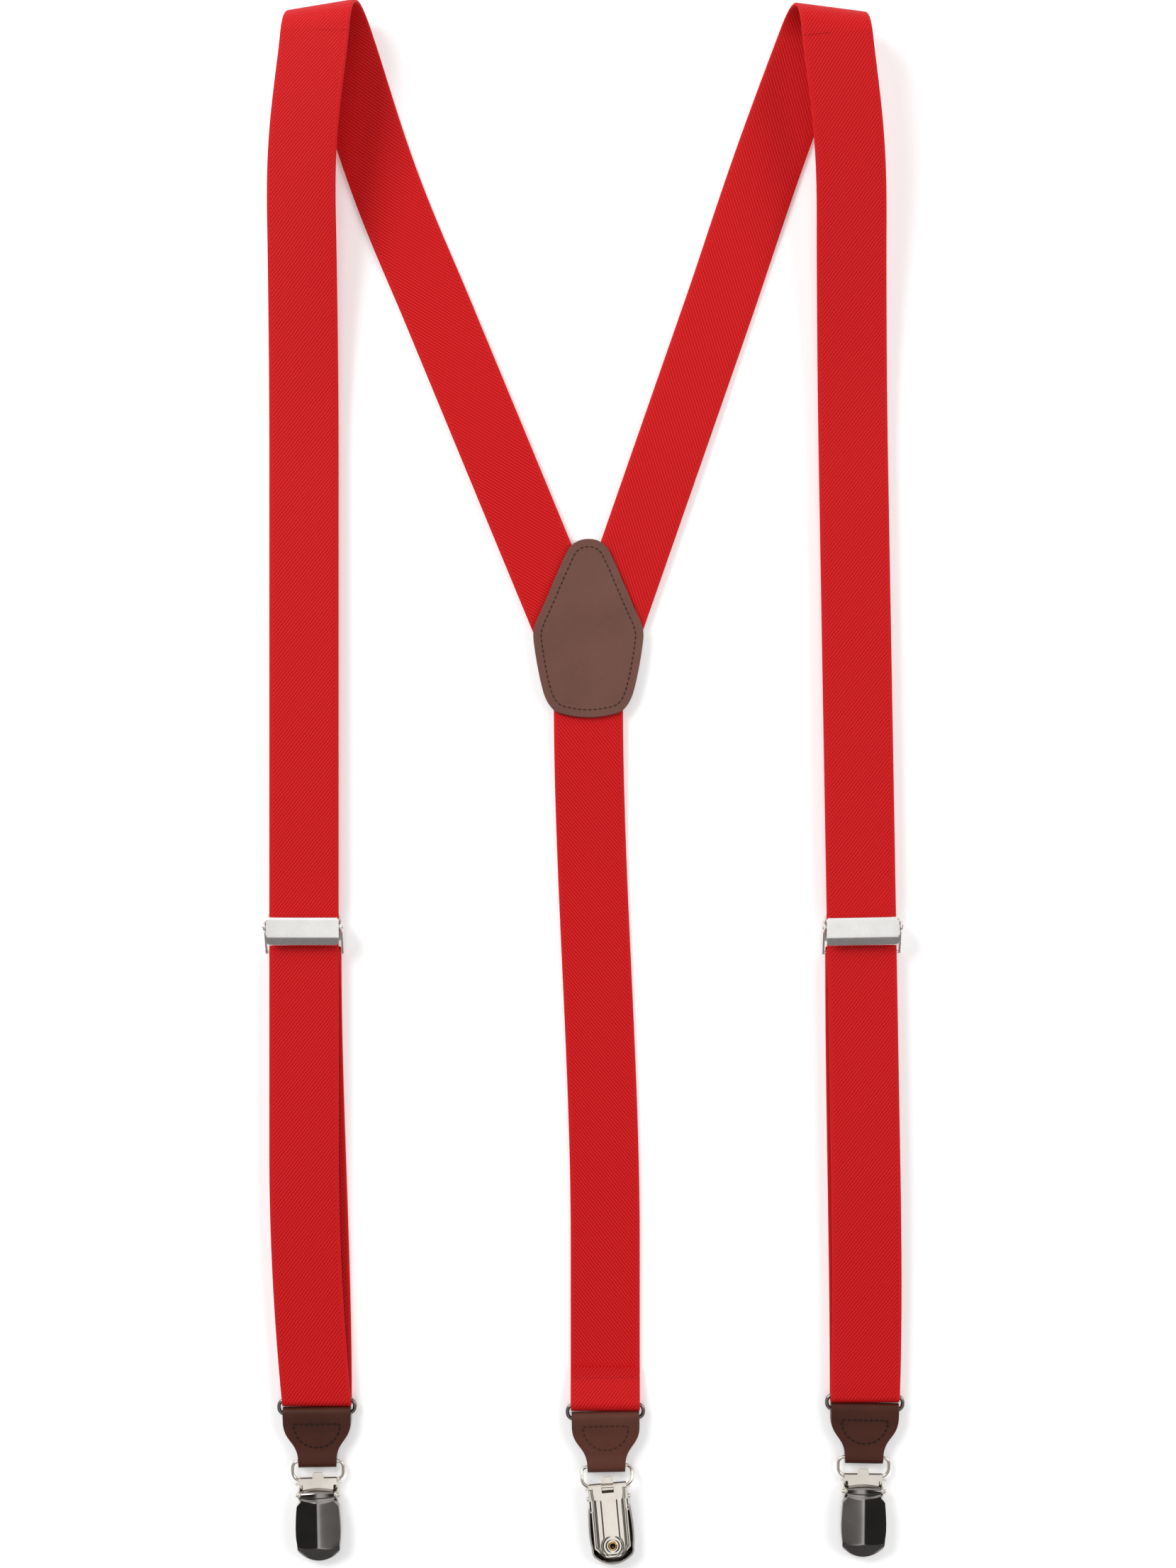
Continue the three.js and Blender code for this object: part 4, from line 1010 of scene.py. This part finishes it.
def clip_ears():
    """Two ears that stand up from the plate and hold the pin, each with a small foot."""
    ears = []
    for sign in (-1, 1):
        eye = arc((PIN_Y, PIN_Z), 1.5, 0, 180, 14)
        outline = [(-9.0, 0.75), (-2.6, 0.75), (-3.2, 3.4), *eye, (-7.2, 2.6)]
        x0, x1 = sorted((sign * 6.4, sign * 7.1))
        ear = prism(outline, x0, x1)
        combine(ear, rod(0.9, -THROUGH, THROUGH, PIN_Y, PIN_Z), "DIFFERENCE")
        ears.append(ear)
        x0, x1 = sorted((sign * 5.9, sign * 7.1))
        ears.append(block((x0, -8.6, 0.75), (x1, -4.6, 1.25)))
    pair = join(*ears)
    outward(pair)
    soften(pair, 0.13, 3, 40)
    return pair


def clip_pin():
    pin = rod(0.75, -8.1, 8.1, PIN_Y, PIN_Z, 28)
    soften(pin, 0.45, 4, 40)
    return pin


def cover_half_width(y):
    """Half the cover's width: a narrow neck, square shoulders, gently bowed sides."""
    if y > NECK_END_Y:
        return NECK_HALF
    if y > SHOULDER_Y:
        return mix(NECK_HALF, COVER_HALF, smooth((NECK_END_Y - y) / 0.8))
    return COVER_HALF + 0.5 * math.sin(math.pi * clamp((SHOULDER_Y - y) / 17, 0, 0.86))


def cover_top_height(x, y):
    """Two side facets that meet in a rounded ridge, and a facet that falls to the tip."""
    ridge = 6.75 - 1.3 / 8.3 * math.sqrt(x * x + 0.35)
    tip = 6.2 - 0.62 * (-24.4 - y + 0.03 * x * x)
    blend = 0.32
    h = clamp(0.5 + 0.5 * (tip - ridge) / blend)
    return mix(tip, ridge, h) - blend * h * (1 - h)


def clip_cover():
    """The lever cover: cam over the pin, bright bend, and faceted body, as one shell with walls."""
    body_rows = spread(TIP_Y, SHOULDER_Y, 60) + spread(SHOULDER_Y, -7.7, 6)[1:]
    bend_rows = spread(0, 1, 10)[1:]
    cam_rows = spread(0, 1, 22)[1:]
    rows = len(body_rows) + len(bend_rows) + len(cam_rows) - 1

    def bend_start(x):
        return -7.6 + 1.4 * (x / NECK_HALF)**2

    def bend_end(x):
        return -5.9 + 0.5 * (x / NECK_HALF)**2

    def cam_radius(x):
        return mix(1.95, 1.15, (abs(x) / NECK_HALF)**1.7)

    def at(i, j):
        t = 2 * i - 1
        row = round(j * rows)
        if row < len(body_rows):
            y = body_rows[row]
            x = t * cover_half_width(y)
            tip_bow = 3.0 * t * t * smooth((-17 - y) / 12)
            corner = 0.03 * smooth((-22 - y) / 5) + 0.09 * clamp((-27.0 - y) / 2)**2
            neck_pull = (bend_start(x) + 7.7) * smooth((y - SHOULDER_Y) / 1.0)
            y = y + tip_bow + neck_pull
            return (x * (1 - corner), y, cover_top_height(x, y))
        x = t * NECK_HALF
        r = cam_radius(x)
        first = -math.asin(clamp((PIN_Y - bend_end(x)) / r, -1, 1))
        cam_y, cam_z = PIN_Y + r * math.sin(first), PIN_Z + r * math.cos(first)
        if row < len(body_rows) + len(bend_rows):
            s = bend_rows[row - len(body_rows)]
            y = mix(bend_start(x), cam_y, s)
            return (x, y, mix(cover_top_height(x, y), cam_z, smooth(s)))
        s = cam_rows[row - len(body_rows) - len(bend_rows)]
        angle = mix(first, math.radians(100), s)
        return (x, PIN_Y + r * math.sin(angle), PIN_Z + r * math.cos(angle))

    shell = surface_grid(60, rows, at)
    recalculate(shell)
    with editing(shell):
        bpy.ops.mesh.region_to_loop()
        bpy.ops.mesh.extrude_edges_move(TRANSFORM_OT_translate={"value": (0, 0, -0.5 * MM)})
    for vertex in shell.data.vertices:
        if vertex.select:
            vertex.co.z = COVER_SKIRT_Z * MM
    thicken(shell, 0.6)
    soften(shell, 0.2, 4, 45, shade=70)
    return shell


def eyelet():
    low, high = 0.12, 2.3
    profile = [(1.0, low + 0.15), (1.12, low), (1.5, low), (1.75, low + 0.14), (1.72, low + 0.3),
               (1.45, low + 0.4), (1.45, high - 0.35), (2.0, high - 0.3), (1.95, high - 0.05), (1.3, high),
               (1.0, high - 0.15)]
    ring = turned(profile, PAD_Y)
    smooth_shade(ring, 45)
    return ring


def grip_pad():
    low, high = 1.4, 2.4
    profile = [(1.75, low), (3.4, low), (3.5, low + 0.12), (3.5, high - 0.2), (3.3, high), (2.55, high),
               (2.35, high - 0.2), (2.35, low + 0.55), (1.75, low + 0.5)]
    pad = turned(profile, PAD_Y)
    smooth_shade(pad, 35)
    return pad


# ---- Adjuster ----
def adjuster_cover():
    z = ADJUSTER_PIN_Z
    path = [(3.55, z - 0.7), (3.6, z + 0.2)]
    path += bezier((3.6, z + 0.2), (3.6, z + 1.1), (3.0, z + 1.25), (2.2, z + 1.3))
    path += [(-3.0, z + 1.5), *bezier((-3.0, z + 1.5), (-3.6, z + 1.5), (-3.9, z + 1.3), (-4.3, z + 1.05))]
    path += [(mix(-4.3, -6.7, t), z + mix(1.05, -0.55, t)) for t in spread(0, 1, 8)[1:]] + [(-6.9, z - 0.95)]
    rows = len(path) - 1

    def at(i, j):
        y, height = path[round(j * rows)]
        half = 13.3 - 0.35 * smooth((abs(y + 1.6) - 3.2) / 2.2)
        half -= 0.5 * smooth((y - 2.7) / 0.9) + 0.9 * clamp((-5.4 - y) / 1.4)**2
        return ((2 * i - 1) * half, y, height)

    sheet = surface_grid(40, rows, at)
    recalculate(sheet)
    thicken(sheet, 0.7)
    teeth = [(-1.5, z + 0.7), (-1.5, z - 1.4), (0.1, z - 3.5), (0.6, z - 2.7), (1.1, z - 3.4),
             (1.6, z - 2.5), (2.1, z - 3.1), (3.0, z - 0.6), (3.0, z + 0.7)]
    cam = prism(teeth, -13.0, 13.0)
    combine(cam, rod(0.75, -THROUGH, THROUGH, 0, z), "DIFFERENCE")
    cover = join(sheet, cam)
    outward(cover)
    soften(cover, 0.16, 3, 38)
    return cover


def merged_copy(node):
    """A copy of a CAD node's own shape, with its loose triangles merged."""
    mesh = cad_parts[node].data.copy()
    mesh.materials.clear()
    piece = add_to_scene(node, mesh)
    with editing(piece):
        bpy.ops.mesh.remove_doubles(threshold=1e-6)
        bpy.ops.mesh.dissolve_limited(angle_limit=math.radians(2))
    return piece


# ---- Putting the ends together ----
def copy_at(master, matrix, name, slot, material, body, *nodes):
    """A copy of a master piece, with its place in its mesh."""
    piece = own_copy(master)
    piece.data.transform(matrix)
    dress(piece, name, slot, material, body, *nodes)


def shift(x, y, z=0.0):
    return Matrix.Translation(at_point(x, y, z))


def turn_z(degrees):
    return Matrix.Rotation(math.radians(degrees), 4, "Z")


ENDS = {
    "left": dict(place=SIDES["left"], tilt=0.8, loop_tilt=1.2, clip_tilt=1.2, reversed=False),
    "right": dict(place=SIDES["right"], tilt=-1.0, loop_tilt=-1.2, clip_tilt=-0.6, reversed=False),
    "back": dict(place=BACK, tilt=1.0, loop_tilt=3.0, clip_tilt=5.2, reversed=True),
}


def strap_ends():
    ring, leather_tab = ring_wire(), tab_body()
    plate, roll, ears, pin = jaw_plate(), rolled_edge(), clip_ears(), clip_pin()
    plate = join(plate, roll, ears)
    cover, brass, pad = clip_cover(), eyelet(), grip_pad()
    masters = [ring, leather_tab, plate, pin, cover, brass, pad]
    for prefix, end in ENDS.items():
        flipped = end["reversed"]
        clip_height = CLIP_STACK - ROLL_Z if flipped else ROLL_Z
        drop = RING_Z - clip_height
        run = math.sqrt(LOOP_LENGTH**2 - drop**2)
        at_ring = shift(end["place"]["ring_x"], end["place"]["ring_y"]) @ turn_z(end["tilt"])
        at_tab = at_ring @ shift(0, -RING_DROP)
        at_loop = at_tab @ shift(0, TAB_LOOP_Y, RING_Z) @ turn_z(end["loop_tilt"] - end["tilt"])
        at_clip = at_loop @ shift(0, -run, -RING_Z) @ turn_z(end["clip_tilt"] - end["loop_tilt"])
        if flipped:
            at_clip = at_clip @ shift(0, 0, CLIP_STACK) @ Matrix.Rotation(math.pi, 4, "Y")
        hide, yarn = (TAB_BACK, THREAD_BROWN) if flipped else (TAB, THREAD_DARK)
        thread = tab_stitches(0.17, 8.4, -2.5, 8.9) if flipped else tab_stitches(0.25, 8.5, -3.5, 8.7)
        wire_loop = loop_wire(drop)
        masters += [thread, wire_loop]
        for master, place, name, slot, material, body, *nodes in (
            (ring, at_ring, "ring_wire", "dark_ring_steel", RING_STEEL, "ring", "strap_ring"),
            (leather_tab, at_tab, "tab_body", "tab_leather", hide, "tab", "leather_tab"),
            (thread, at_tab, "tab_stitches", "tab_leather", yarn, "tab"),
            (wire_loop, at_loop, "loop_wire", "bright_nickel", NICKEL, "loop", "clip_loop"),
            (plate, at_clip, "stamped_plate", "bright_nickel", NICKEL, "clip", "jaw_plate"),
            (pin, at_clip, "domed_pin", "bright_nickel", NICKEL, "clip", "clip_pin"),
            (brass, at_clip, "brass_ring", "brass_eyelet", BRASS, "clip", "eyelet"),
            (pad, at_clip, "jaw_pad", "pad_plastic", PAD, "clip", "grip_pad"),
            (cover, at_clip, "lever_cover", "dark_gunmetal", GUNMETAL, "cover", "clip_cover"),
        ):
            nodes = [f"{prefix}_{node}" for node in nodes]
            copy_at(master, place, f"{prefix}_{name}", slot, material, f"{prefix}_{body}", *nodes)
    for master in masters:
        bpy.data.objects.remove(master)


def adjusters():
    cover = adjuster_cover()
    pin = rod(0.6, -14.75, 14.75, 0, ADJUSTER_PIN_Z, 24)
    soften(pin, 0.3, 3, 40)
    for prefix, side in SIDES.items():
        lean = math.degrees(math.atan(-side["lean"]))
        place = shift(front_strap_x(side, ADJUSTER_Y), ADJUSTER_Y) @ turn_z(lean)
        copy_at(cover, place, f"{prefix}_adjuster_lid", "brushed_nickel", BRUSHED,
                f"{prefix}_adjuster_lever", f"{prefix}_adjuster_cover")
        copy_at(pin, place, f"{prefix}_adjuster_axle", "bright_nickel", NICKEL, f"{prefix}_adjuster",
                f"{prefix}_adjuster_pin")
        body = merged_copy(f"{prefix}_adjuster_frame")
        for sign in (-1, 1):
            low, high = sorted((sign * 13.3, sign * 16))
            above = block((low, 1.9, -1), (high, 9, 20))
            above.data.transform(place)
            combine(body, above, "DIFFERENCE")
        soften(body, 0.14, 3)
        copy_at(body, Matrix(), f"{prefix}_adjuster_body", "brushed_nickel", BRUSHED, f"{prefix}_adjuster",
                f"{prefix}_adjuster_frame")
        bpy.data.objects.remove(body)
    bpy.data.objects.remove(cover)
    bpy.data.objects.remove(pin)


# ---- Patch ----
def patch_half_outline(inset):
    """The patch's right half from its top to its bottom, drawn in by inset."""
    low, high, half = -PATCH_LENGTH / 2, PATCH_LENGTH / 2, PATCH_WIDTH / 2
    widest = PATCH_WIDEST_Y
    curves = [
        ((3.4, high), (6.2, high - 1.6), (7.6, high - 4.4)),
        ((11, high - 11), (half - 4, widest + 11), (half - 1.6, widest + 6.4)),
        ((half - 0.5, widest + 4), (half, widest + 2), (half, widest)),
        ((half, widest - 2), (half - 1.6, low + 17), (half - 3.6, low + 10)),
        ((half - 4.8, low + 5.6), (half - 7.2, low + 2.7), (half - 9.6, low + 1.9)),
        ((7.2, low + 0.9), (3.6, low + 0.3), (0, low + 0.3)),
    ]
    points = [(0, high)]
    for curve in curves:
        points += bezier(points[-1], *curve, 12)
    if not inset:
        return points
    drawn = []
    for before, here, after in zip([points[0]] + points, points, points[1:] + [points[-1]]):
        run = (Vector(after) - Vector(before)).normalized()
        drawn.append(tuple(Vector(here) + Vector((run.y, -run.x)) * inset))
    return drawn


def patch():
    right = patch_half_outline(0)
    outline = right + [(-x, y) for x, y in reversed(right[1:-1])]
    for name, low in (("rear", 0.0), ("front", PATCH_STRAP_Z + THICK / 2 + GAP)):
        skin = prism(outline, low, low + LEATHER, across=False)
        soften(skin, 0.38, 4, 50)
        dress(skin, f"patch_{name}_skin", "patch_leather", PATCH, "root", f"patch_{name}_leather")
    top = low + LEATHER
    sewn = [p for p in patch_half_outline(2.9) if p[0] > 0.6]
    path = sewn + [(-x, y) for x, y in reversed(sewn)]
    thread = stitches(path, 1.9, 0.17, lambda p: top)
    dress(thread, "patch_stitches", "patch_leather", THREAD_BROWN, "root")


def hem_stitches():
    """The row that sews the back strap's hem down, through to its face."""
    top = FLOOR_Z + 1.5 * THICK + GAP / 2
    row_y = BACK["ring_y"] + BACK_HEM_LENGTH - 3.6
    middle = BACK["ring_x"] - 0.3
    row = [(middle - 11.4, row_y - 0.2), (middle + 11.4, row_y + 0.2)]
    thread = stitches(row, 1.9, 0.16, lambda p: top, closed=False)
    dress(thread, "back_hem_stitches", "red_webbing", THREAD_RED, "root")


strap_ends()
adjusters()
patch()
hem_stitches()

# ---- Floor, light and camera ----
FRAME_HEIGHT_MM = 573.4
FRAME_CENTRE = (-0.13, -56.9)
LENS = 60.0
SENSOR = 36.0


def surface():
    bpy.ops.mesh.primitive_plane_add(size=6, location=(0, 0, -0.0004))
    floor = bpy.context.object
    floor.name = "surface"
    material, tree, shader = new_material("white_surface")
    shader.inputs["Base Color"].default_value = (0.95, 0.95, 0.95, 1)
    shader.inputs["Emission Color"].default_value = (1, 1, 1, 1)
    shader.inputs["Emission Strength"].default_value = 0.16
    shader.inputs["Roughness"].default_value = 0.9
    shader.inputs["Specular IOR Level"].default_value = 0.1
    floor.data.materials.append(material)


def soft_light(name, place, size, energy, target=(0, -0.05, 0)):
    data = bpy.data.lights.new(name, "AREA")
    data.shape = "RECTANGLE"
    data.size, data.size_y = size
    data.energy = energy
    lamp = add_to_scene(name, data)
    lamp.location = place
    lamp.rotation_euler = (Vector(target) - Vector(place)).to_track_quat("-Z", "Y").to_euler()


def world_light():
    world = bpy.data.worlds.new("soft_room")
    world.use_nodes = True
    tree = world.node_tree
    background = tree.nodes["Background"]
    place = put(tree, "ShaderNodeTexCoord")
    parts = put(tree, "ShaderNodeSeparateXYZ")
    wire(tree, place.outputs["Generated"], parts.inputs[0])
    side = maths(tree, "ABSOLUTE", parts.outputs[0])
    around = ramp(tree, side, [(0.1, (1.4, 1.4, 1.4)), (0.23, (0.05, 0.05, 0.05)), (0.6, (0.08, 0.08, 0.08)),
                               (0.82, (0.95, 0.95, 0.95))])
    low = ramp(tree, maths(tree, "MULTIPLY_ADD", parts.outputs[1], 0.5, 0.5),
               [(0.08, (0.2, 0.2, 0.2)), (0.3, (0.6, 0.6, 0.6)), (0.5, (0.85, 0.85, 0.85)),
                (0.8, (1.0, 1.0, 1.0))])
    lift = put(tree, "ShaderNodeMapRange", in_1=0.5, in_2=0.76)
    wire(tree, parts.outputs[2], lift.inputs[0])
    sky = put(tree, "ShaderNodeMix", data_type="RGBA")
    wire(tree, lift.outputs[0], sky.inputs[0])
    wire(tree, low, sky.inputs[6])
    wire(tree, around, sky.inputs[7])
    wire(tree, sky.outputs[2], background.inputs[0])
    background.inputs[1].default_value = 1.0
    bpy.context.scene.world = world


def camera():
    data = bpy.data.cameras.new("camera")
    data.sensor_width = SENSOR
    data.lens = LENS
    cam = add_to_scene("camera", data)
    height = FRAME_HEIGHT_MM * LENS / SENSOR + FRONT_Z
    cam.location = at_point(*FRAME_CENTRE, height)
    bpy.context.scene.camera = cam


surface()
soft_light("key_light", (-1.0, 0.75, 1.15), (0.8, 0.8), 18)
soft_light("fill_light", (1.15, 0.1, 1.0), (0.7, 0.9), 8)
world_light()
camera()
bpy.context.scene.view_settings.view_transform = "Standard"
